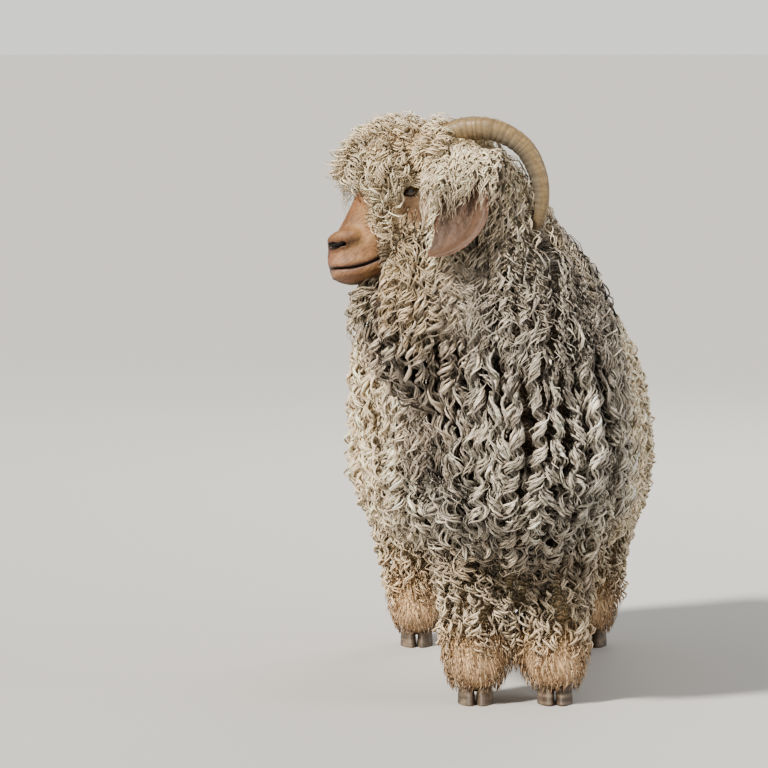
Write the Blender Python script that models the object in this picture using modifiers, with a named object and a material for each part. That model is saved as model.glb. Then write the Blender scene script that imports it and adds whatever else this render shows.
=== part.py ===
"""Angora goat, an adult doe standing square with the head turned to its right, as a still life-size model.

Metres, +Z up. The goat faces -Y, its left side is +X. The floor is Z = 0.
The flesh solids reach out to the tips of the coat. They are lofted along the
animal's own lines (trunk, neck, throat locks, head, legs, tail), joined into
one body, smoothed, and parted where the parts of an animal are named.
Horns, eyes and the eight claws are solids of their own, set in sockets.
"""

import math

import bmesh
import bpy
from mathutils import Matrix, Vector

# ---------------------------------------------------------------- dimensions
GAP = 0.0004            # clearance between neighbouring solids
VOXEL = 0.0075          # cell of the body's union
SMOOTHING = 7           # passes that blend one mass into the next
BODY_FACES = 3250       # triangles kept on the whole body

WITHERS = 0.612         # height of the back over the shoulders, fleece on
FLOOR_CLEAR = 0.009     # the hair of the feet ends this far above the floor
FRONT_FEET_X, HIND_FEET_X = 0.050, 0.120
HIND_FEET_Y = 0.535

HEAD_MEDIAN_Y = -0.105  # the head's own median plane, seen side-on from the front
EYE_R = 0.0135
EYE_AT = (-0.1300, 0.0345, 0.6490)      # x, distance from the head's median, z
HORN_SIDES = 8
EAR_THICK = 0.0045

# the object's box is centred on the origin in X and Y by this shift
CENTRE_X, CENTRE_Y = 0.0205, -0.2174


# ------------------------------------------------------------------- helpers
def clear_scene():
    for obj in list(bpy.data.objects):
        bpy.data.objects.remove(obj, do_unlink=True)


def new_collection(name, parent=None):
    made = bpy.data.collections.new(name)
    (parent or bpy.context.scene.collection).children.link(made)
    return made


def material(name, colour, roughness, metallic=0.0):
    made = bpy.data.materials.new(name)
    made.use_nodes = True
    shader = made.node_tree.nodes["Principled BSDF"]
    shader.inputs["Base Color"].default_value = (*colour, 1.0)
    shader.inputs["Roughness"].default_value = roughness
    shader.inputs["Metallic"].default_value = metallic
    return made


def put(name, mesh, collection, mat=None, smooth=True):
    obj = bpy.data.objects.new(name, mesh)
    collection.objects.link(obj)
    if mat is not None:
        mesh.materials.clear()
        mesh.materials.append(mat)
    if smooth:
        mesh.shade_smooth()
    return obj


def catmull(points, t):
    """A smooth value along a list of equal-length tuples, t from 0 to len - 1."""
    n = len(points)
    i = min(int(t), n - 2)
    u = t - i
    p0, p1, p2, p3 = (points[min(max(k, 0), n - 1)] for k in (i - 1, i, i + 1, i + 2))
    return tuple(
        0.5 * (2 * b + (c - a) * u + (2 * a - 5 * b + 4 * c - d) * u * u + (3 * b - a - 3 * c + d) * u ** 3)
        for a, b, c, d in zip(p0, p1, p2, p3)
    )


def loft_mesh(name, rings):
    """A closed skin through rings of equal count, capped at both ends."""
    bm = bmesh.new()
    loops = [[bm.verts.new(p) for p in ring] for ring in rings]
    for a, b in zip(loops, loops[1:]):
        count = len(a)
        for k in range(count):
            bm.faces.new((a[k], a[(k + 1) % count], b[(k + 1) % count], b[k]))
    bm.faces.new(list(reversed(loops[0])))
    bm.faces.new(loops[-1])
    bmesh.ops.recalc_face_normals(bm, faces=bm.faces)
    mesh = bpy.data.meshes.new(name)
    bm.to_mesh(mesh)
    bm.free()
    return mesh


def swept(name, stations, side, steps=6, sides=28, belly=0.0, square=1.0, grow=0.0, last_reach=None):
    """Lofts ellipses along stations (x, y, z, half width, half depth). side is the way the half
    width is measured. belly over 0 widens the ellipse below its middle, as hanging fleece does.
    Both ends are domed."""
    total = (len(stations) - 1) * steps
    rows = [catmull(stations, i / steps) for i in range(total + 1)]
    centres = [Vector(r[:3]) for r in rows]
    rings = []
    for i, row in enumerate(rows):
        along = (centres[min(i + 1, total)] - centres[max(i - 1, 0)]).normalized()
        across = (Vector(side) - along * along.dot(Vector(side))).normalized()
        up = across.cross(along).normalized()
        rings.append((centres[i], along, across, up, row[3] + grow, row[4] + grow))
    domed = []
    for end, sign in ((rings[0], -1), (rings[-1], 1)):
        centre, along, across, up, a, b = end
        reach = last_reach if last_reach and sign > 0 else 0.75 * min(a, b)
        cap = [
            (centre + along * sign * reach * math.sin(k * math.pi / 2 / 4), along, across, up,
             a * max(math.cos(k * math.pi / 2 / 4), 0.06), b * max(math.cos(k * math.pi / 2 / 4), 0.06))
            for k in range(1, 5)
        ]
        domed.append(cap)
    rings = list(reversed(domed[0])) + rings + domed[1]
    outline = []
    for centre, along, across, up, a, b in rings:
        ring = []
        for k in range(sides):
            turn = 2 * math.pi * k / sides
            wide = math.cos(turn)
            if math.sin(turn) < 0:
                wide = math.copysign(abs(wide) ** square, wide)
            wide *= 1 - belly * math.sin(turn)
            ring.append(centre + across * (a * wide) + up * (b * math.sin(turn)))
        outline.append(ring)
    return loft_mesh(name, outline)


def ellipsoid(name, centre, radii, tilt=(0.0, 0.0, 0.0), segments=32, rings=20, grow=0.0):
    bm = bmesh.new()
    bmesh.ops.create_uvsphere(bm, u_segments=segments, v_segments=rings, radius=1.0)
    turn = Matrix.Rotation(tilt[2], 4, "Z") @ Matrix.Rotation(tilt[1], 4, "Y") @ Matrix.Rotation(tilt[0], 4, "X")
    size = Matrix.Diagonal((radii[0] + grow, radii[1] + grow, radii[2] + grow, 1.0))
    bm.transform(Matrix.Translation(centre) @ turn @ size)
    mesh = bpy.data.meshes.new(name)
    bm.to_mesh(mesh)
    bm.free()
    return mesh


def evaluated_mesh(obj, name):
    graph = bpy.context.evaluated_depsgraph_get()
    graph.update()
    return bpy.data.meshes.new_from_object(obj.evaluated_get(graph), depsgraph=graph)


def hide(obj):
    obj.hide_render = True
    obj.display_type = "WIRE"
    return obj


# --------------------------------------------------------------- body masses
# Trunk: middle in x, y, top line, underline and half width of the fleece. The sections widen low down
# and are square below, because the locks part along the spine and hang.
TRUNK = [
    (0.000, -0.130, 0.545, 0.235, 0.092),
    (0.000, -0.060, 0.590, 0.200, 0.128),
    (-0.006, 0.040, WITHERS, 0.184, 0.155),
    (-0.010, 0.160, 0.602, 0.178, 0.175),
    (-0.010, 0.290, 0.598, 0.176, 0.187),
    (-0.010, 0.400, 0.602, 0.184, 0.187),
    (-0.008, 0.480, 0.594, 0.200, 0.174),
    (-0.006, 0.530, 0.574, 0.224, 0.150),
]
SIDE_SWELL = ((-0.060, 0.260, 0.385), (0.153, 0.345, 0.185))    # the side away from the turned head's neck is fuller
RUMP_REACH = 0.095      # how far the rump rounds out behind the last section
BELLY = 0.30
SQUARE_BELOW = 0.45     # 1 is an ellipse, less is squarer

# Neck and the apron of long locks over the chest: x, y, z, half width, half depth, from the brisket up
NECK = [
    (0.000, -0.058, 0.238, 0.098, 0.080),
    (0.000, -0.072, 0.285, 0.128, 0.115),
    (0.002, -0.080, 0.340, 0.138, 0.128),
    (0.004, -0.078, 0.420, 0.133, 0.130),
    (-0.003, -0.074, 0.495, 0.117, 0.124),
    (-0.020, -0.080, 0.560, 0.092, 0.110),
    (-0.038, -0.092, 0.620, 0.068, 0.090),
    (-0.054, -0.100, 0.665, 0.054, 0.074),
]

# Throat and beard: the curtain of locks that hangs from the jaw and cheeks
THROAT = [
    (-0.100, -0.105, 0.590, 0.066, 0.070),
    (-0.118, -0.112, 0.535, 0.078, 0.080),
    (-0.120, -0.118, 0.480, 0.080, 0.080),
    (-0.105, -0.120, 0.435, 0.066, 0.066),
]

# Face below the forelock, by the profile's top and bottom points and the half width: x top, z top, x bottom, z bottom, half width
FACE = [
    (-0.150, 0.712, -0.080, 0.590, 0.056),
    (-0.177, 0.692, -0.112, 0.569, 0.049),
    (-0.195, 0.667, -0.141, 0.548, 0.040),
    (-0.209, 0.638, -0.169, 0.532, 0.0340),
    (-0.223, 0.608, -0.196, 0.527, 0.0300),
    (-0.2340, 0.588, -0.215, 0.531, 0.0260),
    (-0.2385, 0.574, -0.229, 0.543, 0.0185),
]

# Fore leg and hind leg, for the goat's left side: x, y, z, half width, half depth
FORELEG = [
    (0.062, 0.010, 0.270, 0.060, 0.075),
    (0.056, 0.000, 0.205, 0.052, 0.058),
    (0.0525, -0.004, 0.150, 0.0495, 0.052),
    (FRONT_FEET_X + 0.001, 0.002, 0.095, 0.0480, 0.049),
    (FRONT_FEET_X, 0.000, 0.055, 0.0465, 0.050),
    (FRONT_FEET_X, -0.008, 0.028, 0.0420, 0.048),
]
HINDLEG = [
    (0.105, 0.430, 0.360, 0.075, 0.110),
    (0.128, 0.475, 0.280, 0.064, 0.085),
    (0.136, 0.540, 0.205, 0.053, 0.060),
    (0.131, 0.555, 0.145, 0.0480, 0.050),
    (0.124, 0.548, 0.095, 0.0440, 0.047),
    (HIND_FEET_X, HIND_FEET_Y + 0.004, 0.055, 0.0420, 0.047),
    (HIND_FEET_X, HIND_FEET_Y - 0.006, 0.028, 0.0385, 0.046),
]
TAIL = [
    (-0.006, 0.555, 0.545, 0.040, 0.026),
    (-0.006, 0.598, 0.538, 0.043, 0.027),
    (-0.006, 0.622, 0.508, 0.041, 0.025),
    (-0.006, 0.629, 0.470, 0.030, 0.021),
]


def trunk_mesh():
    stations = [(x, y, (top + low) / 2, half, (top - low) / 2) for x, y, top, low, half in TRUNK]
    return swept("trunk_mass", stations, (1, 0, 0), belly=BELLY, square=SQUARE_BELOW, sides=36, last_reach=RUMP_REACH)


def face_mesh():
    rings = []
    steps = 5
    for i in range((len(FACE) - 1) * steps + 1):
        xt, zt, xb, zb, half = catmull(FACE, i / steps)
        centre = Vector(((xt + xb) / 2, HEAD_MEDIAN_Y, (zt + zb) / 2))
        up = Vector(((xt - xb) / 2, 0.0, (zt - zb) / 2))
        ring = []
        for k in range(24):
            turn = 2 * math.pi * k / 24
            ring.append(centre + up * math.sin(turn) + Vector((0, half * math.cos(turn), 0)))
        rings.append(ring)
    return loft_mesh("face_mass", rings)


def body_meshes():
    made = [
        trunk_mesh(),
        ellipsoid("side_swell", *SIDE_SWELL),
        swept("neck_mass", NECK, (1, 0, 0)),
        swept("throat_mass", THROAT, (1, 0, 0)),
        face_mesh(),
        # forelock, crown and cheek wool
        ellipsoid("forelock_mass", (-0.145, HEAD_MEDIAN_Y, 0.683), (0.081, 0.078, 0.064), (0, 0.10, 0)),
        ellipsoid("crown_mass", (-0.092, HEAD_MEDIAN_Y, 0.678), (0.072, 0.076, 0.060)),
        ellipsoid("cheek_mass", (-0.108, HEAD_MEDIAN_Y, 0.610), (0.070, 0.070, 0.062)),
        swept("tail_mass", TAIL, (1, 0, 0)),
    ]
    for sign in (1, -1):
        for name, stations in (("foreleg_mass", FORELEG), ("hindleg_mass", HINDLEG)):
            mirrored = [(sign * x, y, z, a, b) for x, y, z, a, b in stations]
            made.append(swept(name, mirrored, (1, 0, 0), sides=20))
    return made


def join_meshes(name, meshes):
    bm = bmesh.new()
    for mesh in meshes:
        bm.from_mesh(mesh)
    joined = bpy.data.meshes.new(name)
    bm.to_mesh(joined)
    bm.free()
    return joined


def modifier(obj, kind, **settings):
    made = obj.modifiers.new(kind.title(), kind)
    for key, value in settings.items():
        setattr(made, key, value)
    return made


def whole_body(helpers):
    masses = body_meshes()
    for mesh in masses:
        bm = bmesh.new()
        bm.from_mesh(mesh)
        bmesh.ops.recalc_face_normals(bm, faces=bm.faces)
        bm.to_mesh(mesh)
        bm.free()
    raw = put("body_masses", join_meshes("body_masses", masses), helpers)
    modifier(raw, "REMESH", mode="VOXEL", voxel_size=VOXEL)
    modifier(raw, "SMOOTH", factor=0.5, iterations=SMOOTHING)
    blended = evaluated_mesh(raw, "body_blended")
    share = BODY_FACES / max(1, 2 * len(blended.polygons))
    hide(raw)
    fine = put("body_blended", blended, helpers)
    modifier(fine, "DECIMATE", ratio=share)
    kept = evaluated_mesh(fine, "body_whole")
    hide(fine)
    bm = bmesh.new()
    bm.from_mesh(kept)
    bmesh.ops.triangulate(bm, faces=bm.faces)
    # the hair of the feet ends flat, just clear of the floor
    cut = bmesh.ops.bisect_plane(
        bm, geom=list(bm.verts) + list(bm.edges) + list(bm.faces), dist=1e-6,
        plane_co=(0, 0, FLOOR_CLEAR), plane_no=(0, 0, -1), clear_outer=True,
    )
    rim = [e for e in cut["geom_cut"] if isinstance(e, bmesh.types.BMEdge)]
    bmesh.ops.holes_fill(bm, edges=rim, sides=0)
    bmesh.ops.triangulate(bm, faces=bm.faces)
    bm.to_mesh(kept)
    bm.free()
    return put("body_whole", kept, helpers)


# ----------------------------------------------------------- horns, ears, eyes
# The horn's line for the side nearer the front: x, distance from the head's median, z, half width across, half depth
HORN = [
    (-0.126, 0.018, 0.6740, 0.0125, 0.0142),
    (-0.107, 0.021, 0.7000, 0.0125, 0.0144),
    (-0.083, 0.0245, 0.7180, 0.0124, 0.0144),
    (-0.054, 0.029, 0.7250, 0.0118, 0.0138),
    (-0.024, 0.033, 0.7213, 0.0110, 0.0130),
    (0.006, 0.036, 0.7020, 0.0100, 0.0118),
    (0.0235, 0.036, 0.6700, 0.0090, 0.0103),
    (0.0280, 0.033, 0.6360, 0.0076, 0.0086),
    (0.0220, 0.028, 0.6080, 0.0058, 0.0064),
    (0.0120, 0.024, 0.5930, 0.0034, 0.0036),
]


def horn_mesh(side, grow=0.0):
    stations = [(x, HEAD_MEDIAN_Y + side * d, z, a, b) for x, d, z, a, b in HORN]
    return swept("horn", stations, (0, 1, 0), steps=2, sides=HORN_SIDES, grow=grow)


# The ear's blade: where its middle line runs and how wide it is, x, distance from the median, z, half width
EAR = [
    (-0.0700, 0.044, 0.6640, 0.0120),
    (-0.0690, 0.058, 0.6520, 0.0230),
    (-0.0680, 0.071, 0.6340, 0.0330),
    (-0.0730, 0.081, 0.6130, 0.0350),
    (-0.0860, 0.087, 0.5930, 0.0270),
    (-0.1010, 0.089, 0.5790, 0.0140),
    (-0.1100, 0.089, 0.5720, 0.0050),
]
EAR_SIDE = Vector((0.86, 0.18, 0.46))   # across the blade, towards its hind edge (second figure away from the median)
EAR_CUP = 0.010                         # depth of the ear's hollow


def ear_mesh(side, thick, grow=0.0):
    """A cupped leaf, given its thickness with Solidify. grow widens and lengthens it, for its socket."""
    bm = bmesh.new()
    rows = []
    steps, columns = 2, 4
    last = (len(EAR) - 1) * steps
    for i in range(last + 1):
        x, d, z, half = catmull(EAR, i / steps)
        half += grow
        x2, d2, z2, _ = catmull(EAR, min(i / steps + 0.05, len(EAR) - 1))
        x1, d1, z1, _ = catmull(EAR, max(i / steps - 0.05, 0))
        along = Vector((x2 - x1, side * (d2 - d1), z2 - z1)).normalized()
        across = Vector((EAR_SIDE.x, side * EAR_SIDE.y, EAR_SIDE.z))
        across = (across - along * along.dot(across)).normalized()
        out = across.cross(along).normalized()
        if out.y * side < 0:
            out = -out
        centre = Vector((x, HEAD_MEDIAN_Y + side * d, z)) + along * grow * ((i == last) - (i == 0))
        row = []
        for k in range(columns + 1):
            w = 2 * k / columns - 1
            cup = EAR_CUP * (half / 0.035) * (w * w - 0.35)
            row.append(bm.verts.new(centre + across * (half * w) + out * cup))
        rows.append(row)
    for a, b in zip(rows, rows[1:]):
        for k in range(columns):
            bm.faces.new((a[k], a[k + 1], b[k + 1], b[k]))
    bmesh.ops.recalc_face_normals(bm, faces=bm.faces)
    mesh = bpy.data.meshes.new("ear_blade")
    bm.to_mesh(mesh)
    bm.free()
    blade = put("ear_blade", mesh, helper_box)
    modifier(blade, "SOLIDIFY", thickness=thick, offset=0.0)
    solid = evaluated_mesh(blade, "ear")
    bpy.data.objects.remove(blade, do_unlink=True)
    return solid


def eye_mesh(side, grow=0.0):
    x, d, z = EYE_AT
    return ellipsoid("eye", (x, HEAD_MEDIAN_Y + side * d, z), (EYE_R,) * 3, segments=12, rings=7, grow=grow)


def eye_hollow(side):
    """The dip under the forelock where the eye looks out."""
    x, d, z = EYE_AT
    return ellipsoid(
        "hollow", (x - 0.012, HEAD_MEDIAN_Y + side * (d + 0.040), z - 0.012), (0.024, 0.034, 0.022),
        segments=14, rings=9,
    )


# --------------------------------------------------------------------- claws
CLAW_LENGTH, CLAW_WIDTH, CLAW_HEIGHT = 0.054, 0.0210, 0.030


def claw_mesh(at_x, at_y, lean, grow=0.0):
    """One claw of a cloven hoof: a flat sole, a sloping front wall and a rounded toe."""
    rings = []
    for level, share_len, share_wide, back in (
        (0.0, 1.0, 1.0, 0.0), (0.45, 0.93, 0.96, 0.004), (1.0, 0.70, 0.80, 0.014),
    ):
        z = level * CLAW_HEIGHT + (grow if level == 1.0 else (-grow if level == 0.0 else 0.0))
        ring = []
        for k in range(10):
            turn = 2 * math.pi * (k + 0.5) / 10
            c, s = math.cos(turn), math.sin(turn)
            wide = (CLAW_WIDTH / 2 * share_wide + grow) * math.copysign(abs(c) ** 0.75, c)
            long = (CLAW_LENGTH / 2 * share_len + grow) * s
            narrowing = 1.0 - 0.38 * max(0.0, -s) ** 2      # the toe is narrower than the heel
            wide = wide * narrowing + lean * 0.004 * max(0.0, -s) * -1.0
            ring.append(Vector((at_x + wide, at_y + long + back, z)))
        rings.append(ring)
    return loft_mesh("claw", rings)


CLAWS = []
for leg, foot_x, foot_y in (("fore", FRONT_FEET_X, -0.014), ("hind", HIND_FEET_X, HIND_FEET_Y - 0.012)):
    for side_name, side in (("left", 1), ("right", -1)):
        for claw_name, off in (("outer", 1), ("inner", -1)):
            CLAWS.append((f"claw_{leg}_{side_name}_{claw_name}", side * (foot_x + off * 0.0118), foot_y, side * off))


# --------------------------------------------------------------------- parting
def slab(name, centre, normal, size, thick):
    """A thin sheet that parts the body across one plane."""
    bm = bmesh.new()
    bmesh.ops.create_cube(bm, size=1.0)
    turn = Vector(normal).normalized().to_track_quat("Z", "Y").to_matrix().to_4x4()
    bm.transform(Matrix.Translation(centre) @ turn @ Matrix.Diagonal((size[0], size[1], thick, 1.0)))
    mesh = bpy.data.meshes.new(name)
    bm.to_mesh(mesh)
    bm.free()
    return mesh


HEAD_CUT = ((-0.060, HEAD_MEDIAN_Y, 0.612), (-0.800, 0.0, 0.600))
NECK_CUT = ((0.0, -0.040, 0.500), (-0.36, -0.50, 0.79))
TAIL_CUT = ((0.0, 0.602, 0.500), (0.0, 0.93, 0.37))
FORE_CUT_Z = 0.166
HIND_CUT_Y, HIND_CUT_Z = 0.545, 0.186


def cut_with(obj, cutter, name):
    m = modifier(obj, "BOOLEAN", operation="DIFFERENCE", object=cutter, solver="EXACT")
    m.name = name
    return m


def parts_of(body, cutters_of):
    """Applies the cutters, then gives back the loose bodies as meshes."""
    for i, cutter in enumerate(cutters_of):
        cut_with(body, cutter, f"cut_{i}")
    mesh = evaluated_mesh(body, "body_parted")
    bm = bmesh.new()
    bm.from_mesh(mesh)
    bmesh.ops.triangulate(bm, faces=bm.faces)
    bm.verts.ensure_lookup_table()
    seen, groups = set(), []
    for start in bm.verts:
        if start.index in seen:
            continue
        stack, found = [start], []
        seen.add(start.index)
        while stack:
            v = stack.pop()
            found.append(v)
            for e in v.link_edges:
                w = e.other_vert(v)
                if w.index not in seen:
                    seen.add(w.index)
                    stack.append(w)
        groups.append(found)
    made = []
    for found in groups:
        if len(found) < 20:
            continue
        part = bmesh.new()
        names = {v: part.verts.new(v.co) for v in found}
        for f in {f for v in found for f in v.link_faces}:
            part.faces.new([names[v] for v in f.verts])
        bmesh.ops.recalc_face_normals(part, faces=part.faces)
        volume = part.calc_volume(signed=True)
        out = bpy.data.meshes.new("part")
        part.to_mesh(out)
        part.free()
        made.append((volume, out))
    bm.free()
    return made


# --------------------------------------------------------------------- build
clear_scene()
goat_box = new_collection("angora_goat")
helper_box = new_collection("cutters")

fleece = material("fleece", (0.62, 0.55, 0.45), 0.75)
tan_hair = material("tan_hair", (0.50, 0.30, 0.18), 0.65)
horn_stuff = material("horn", (0.52, 0.39, 0.23), 0.45)
claw_stuff = material("claw", (0.16, 0.12, 0.09), 0.5)
eye_stuff = material("eye", (0.30, 0.19, 0.06), 0.08)

body = whole_body(helper_box)

cutters = []
for sign in (1, -1):
    for label, mesh in (
        ("horn_socket", horn_mesh(sign, GAP)),
        ("ear_socket", ear_mesh(sign, EAR_THICK + 2 * GAP, GAP)),
        ("eye_socket", eye_mesh(sign, GAP)),
        ("eye_hollow", eye_hollow(sign)),
    ):
        cutters.append(hide(put(f"{label}_{'left' if sign < 0 else 'right'}", mesh, helper_box)))
for name, x, y, lean in CLAWS:
    cutters.append(hide(put(f"socket_{name}", claw_mesh(x, y, lean, GAP), helper_box)))
cuts = [
    slab("head_cut", *HEAD_CUT, (0.56, 0.56), GAP),
    slab("neck_cut", *NECK_CUT, (0.52, 0.50), GAP),
    slab("tail_cut", *TAIL_CUT, (0.13, 0.22), GAP),
    slab("fore_cut", (0.0, 0.0, FORE_CUT_Z), (0, 0, 1), (0.30, 0.22), GAP),
    slab("fore_part", (0.0, 0.0, FORE_CUT_Z / 2 - 0.005), (1, 0, 0), (FORE_CUT_Z + 0.01, 0.22), 2 * GAP),
    slab("hind_cut", (0.0, HIND_CUT_Y, HIND_CUT_Z), (0, 0, 1), (0.46, 0.26), GAP),
]
for mesh in cuts:
    cutters.append(hide(put(mesh.name, mesh, helper_box)))

found = parts_of(body, cutters)
hide(body)


def middle(mesh):
    total = Vector((0, 0, 0))
    for v in mesh.vertices:
        total += v.co
    return total / len(mesh.vertices)


ANCHORS = {
    "head": (-0.150, -0.105, 0.640), "neck": (-0.020, -0.080, 0.560), "trunk": (0.0, 0.220, 0.400),
    "tail": (0.0, 0.645, 0.500), "foreleg_left": (0.052, 0.0, 0.100), "foreleg_right": (-0.052, 0.0, 0.100),
    "hindleg_left": (0.125, 0.530, 0.160), "hindleg_right": (-0.125, 0.530, 0.160),
}
best = {}
for volume, mesh in found:
    at = middle(mesh)
    name = min(ANCHORS, key=lambda n: (Vector(ANCHORS[n]) - at).length)
    if name not in best or volume > best[name][0]:
        best[name] = (volume, mesh)
print("bodies", [(round(v * 1e6, 1), [round(c, 3) for c in middle(m)]) for v, m in found])
for name, (volume, mesh) in best.items():
    put(name, mesh, goat_box, fleece, smooth=False)

for sign, label in ((1, "right"), (-1, "left")):
    put(f"horn_{label}", horn_mesh(sign), goat_box, horn_stuff)
    put(f"ear_{label}", ear_mesh(sign, EAR_THICK), goat_box, tan_hair)
    put(f"eye_{label}", eye_mesh(sign), goat_box, eye_stuff)
for name, x, y, lean in CLAWS:
    put(name, claw_mesh(x, y, lean), goat_box, claw_stuff)

for obj in goat_box.objects:
    obj.location = (CENTRE_X, CENTRE_Y, 0.0)
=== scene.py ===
"""The looks of a standing angora goat: one skin with its face, ears and feet, the eyes, horns and hooves,
and a fleece of curled locks, each a small bundle of closed, tapering plies that follows the lie of the coat."""

import math

import bmesh
import bpy
import numpy as np
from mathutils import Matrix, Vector
from mathutils.bvhtree import BVHTree


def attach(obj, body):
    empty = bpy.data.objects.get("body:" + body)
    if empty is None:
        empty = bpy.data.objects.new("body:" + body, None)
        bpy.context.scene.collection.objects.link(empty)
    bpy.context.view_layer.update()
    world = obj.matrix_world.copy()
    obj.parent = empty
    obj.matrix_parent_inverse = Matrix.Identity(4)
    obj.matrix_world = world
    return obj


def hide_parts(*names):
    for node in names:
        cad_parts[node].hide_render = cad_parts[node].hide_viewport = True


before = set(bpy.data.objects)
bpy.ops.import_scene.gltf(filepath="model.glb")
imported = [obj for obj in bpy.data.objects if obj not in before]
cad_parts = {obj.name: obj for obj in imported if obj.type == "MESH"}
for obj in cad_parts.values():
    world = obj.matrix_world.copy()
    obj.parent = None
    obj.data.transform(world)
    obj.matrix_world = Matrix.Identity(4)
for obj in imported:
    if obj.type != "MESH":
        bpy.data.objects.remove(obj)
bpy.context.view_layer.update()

# The goat is modelled in its own place (x = 0 on the body's middle, y = 0 at the fore feet) and set
# into the frame by this shift.
OFF = np.array([0.0205, -0.2174, 0.0])
MY = -0.105                       # the turned head's own median plane
FLESH = [
    "head", "neck", "trunk", "tail", "foreleg_left", "foreleg_right", "hindleg_left", "hindleg_right",
    "ear_left", "ear_right",
]
rng = np.random.default_rng(4711)


# ------------------------------------------------------------------ numbers
def spline(points, n):
    """n rows along a smooth curve through the points."""
    p = np.asarray(points, float)
    t = np.linspace(0, len(p) - 1, n)
    i = np.minimum(t.astype(int), len(p) - 2)
    u = (t - i)[:, None]
    take = lambda k: p[np.clip(i + k, 0, len(p) - 1)]
    a, b, c, d = take(-1), take(0), take(1), take(2)
    return 0.5 * (2 * b + (c - a) * u + (2 * a - 5 * b + 4 * c - d) * u ** 2 + (3 * b - a - 3 * c + d) * u ** 3)


def curve(pairs):
    """A smooth function of one number through the pairs."""
    table = spline(pairs, 60 * len(pairs))
    order = np.argsort(table[:, 0])
    x, y = table[order, 0], table[order, 1]
    return lambda v: np.interp(v, x, y)


def smooth(lo, hi, v):
    t = np.clip((v - lo) / (hi - lo), 0, 1)
    return t * t * (3 - 2 * t)


def unit(v):
    return v / np.maximum(np.linalg.norm(v, axis=-1, keepdims=True), 1e-9)


def mix(a, b, t):
    return a + (b - a) * t


class Lattice:
    """Values on an even grid, read anywhere between its points."""

    def __init__(self, lo, h, data):
        self.lo, self.h, self.n = np.asarray(lo, float), h, np.array(data.shape[:3])
        self.flat = np.ascontiguousarray(data.reshape(-1, data.shape[3]), np.float32)

    def __call__(self, p):
        q = np.clip((p - self.lo) / self.h, 0, self.n - 1.001)
        i = q.astype(np.int64)
        f = (q - i).astype(np.float32)
        base = (i[..., 0] * self.n[1] + i[..., 1]) * self.n[2] + i[..., 2]
        sx, sy = self.n[1] * self.n[2], self.n[2]
        out = 0
        for dx in (0, 1):
            wx = f[..., 0] if dx else 1 - f[..., 0]
            for dy in (0, 1):
                wy = wx * (f[..., 1] if dy else 1 - f[..., 1])
                for dz in (0, 1):
                    w = wy * (f[..., 2] if dz else 1 - f[..., 2])
                    out = out + self.flat[base + dx * sx + dy * sy + dz] * w[..., None]
        return out


# -------------------------------------------------- the coat's outer surface
WOOLLY_HEAD = [
    ((-0.145, MY, 0.683), (0.081, 0.078, 0.064)), ((-0.092, MY, 0.678), (0.072, 0.076, 0.060)), ((-0.108, MY, 0.610), (0.070, 0.070, 0.062)),
]


def d_ellipsoid(x, y, z, centre, radii):
    a, b, c = (x - centre[0]) / radii[0], (y - centre[1]) / radii[1], (z - centre[2]) / radii[2]
    k0 = np.sqrt(a * a + b * b + c * c)
    k1 = np.sqrt((a / radii[0]) ** 2 + (b / radii[1]) ** 2 + (c / radii[2]) ** 2)
    return k0 * (k0 - 1) / np.maximum(k1, 1e-6)


def outer_surface():
    """The solids reach out to the tips of the coat. They are joined here, without their seams, as the
    surface that the locks' tips lie along."""
    verts, faces, at = [], [], 0
    for name in FLESH[:8]:
        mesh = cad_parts[name].data
        co = np.empty(len(mesh.vertices) * 3, np.float32)
        mesh.vertices.foreach_get("co", co)
        mesh.calc_loop_triangles()
        tri = np.empty(len(mesh.loop_triangles) * 3, np.int32)
        mesh.loop_triangles.foreach_get("vertices", tri)
        verts.append(co.reshape(-1, 3) - OFF)
        faces.append(tri.reshape(-1, 3) + at)
        at += len(mesh.vertices)
    joined = bpy.data.meshes.new("outer")
    joined.from_pydata(np.concatenate(verts).tolist(), [], np.concatenate(faces).tolist())
    obj = bpy.data.objects.new("outer", joined)
    bpy.context.scene.collection.objects.link(obj)
    weld = obj.modifiers.new("weld", "WELD")
    weld.merge_threshold = 0.00002
    remesh = obj.modifiers.new("remesh", "REMESH")
    remesh.mode = "VOXEL"
    remesh.voxel_size = 0.0065
    relax = obj.modifiers.new("relax", "SMOOTH")
    relax.factor, relax.iterations = 0.5, 4
    graph = bpy.context.evaluated_depsgraph_get()
    graph.update()
    done = bpy.data.meshes.new_from_object(obj.evaluated_get(graph), depsgraph=graph)
    bpy.data.objects.remove(obj)
    done.calc_loop_triangles()
    co = np.empty(len(done.vertices) * 3, np.float32)
    done.vertices.foreach_get("co", co)
    tri = np.empty(len(done.loop_triangles) * 3, np.int32)
    done.loop_triangles.foreach_get("vertices", tri)
    bpy.data.meshes.remove(done)
    return co.reshape(-1, 3).astype(float), tri.reshape(-1, 3)


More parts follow.
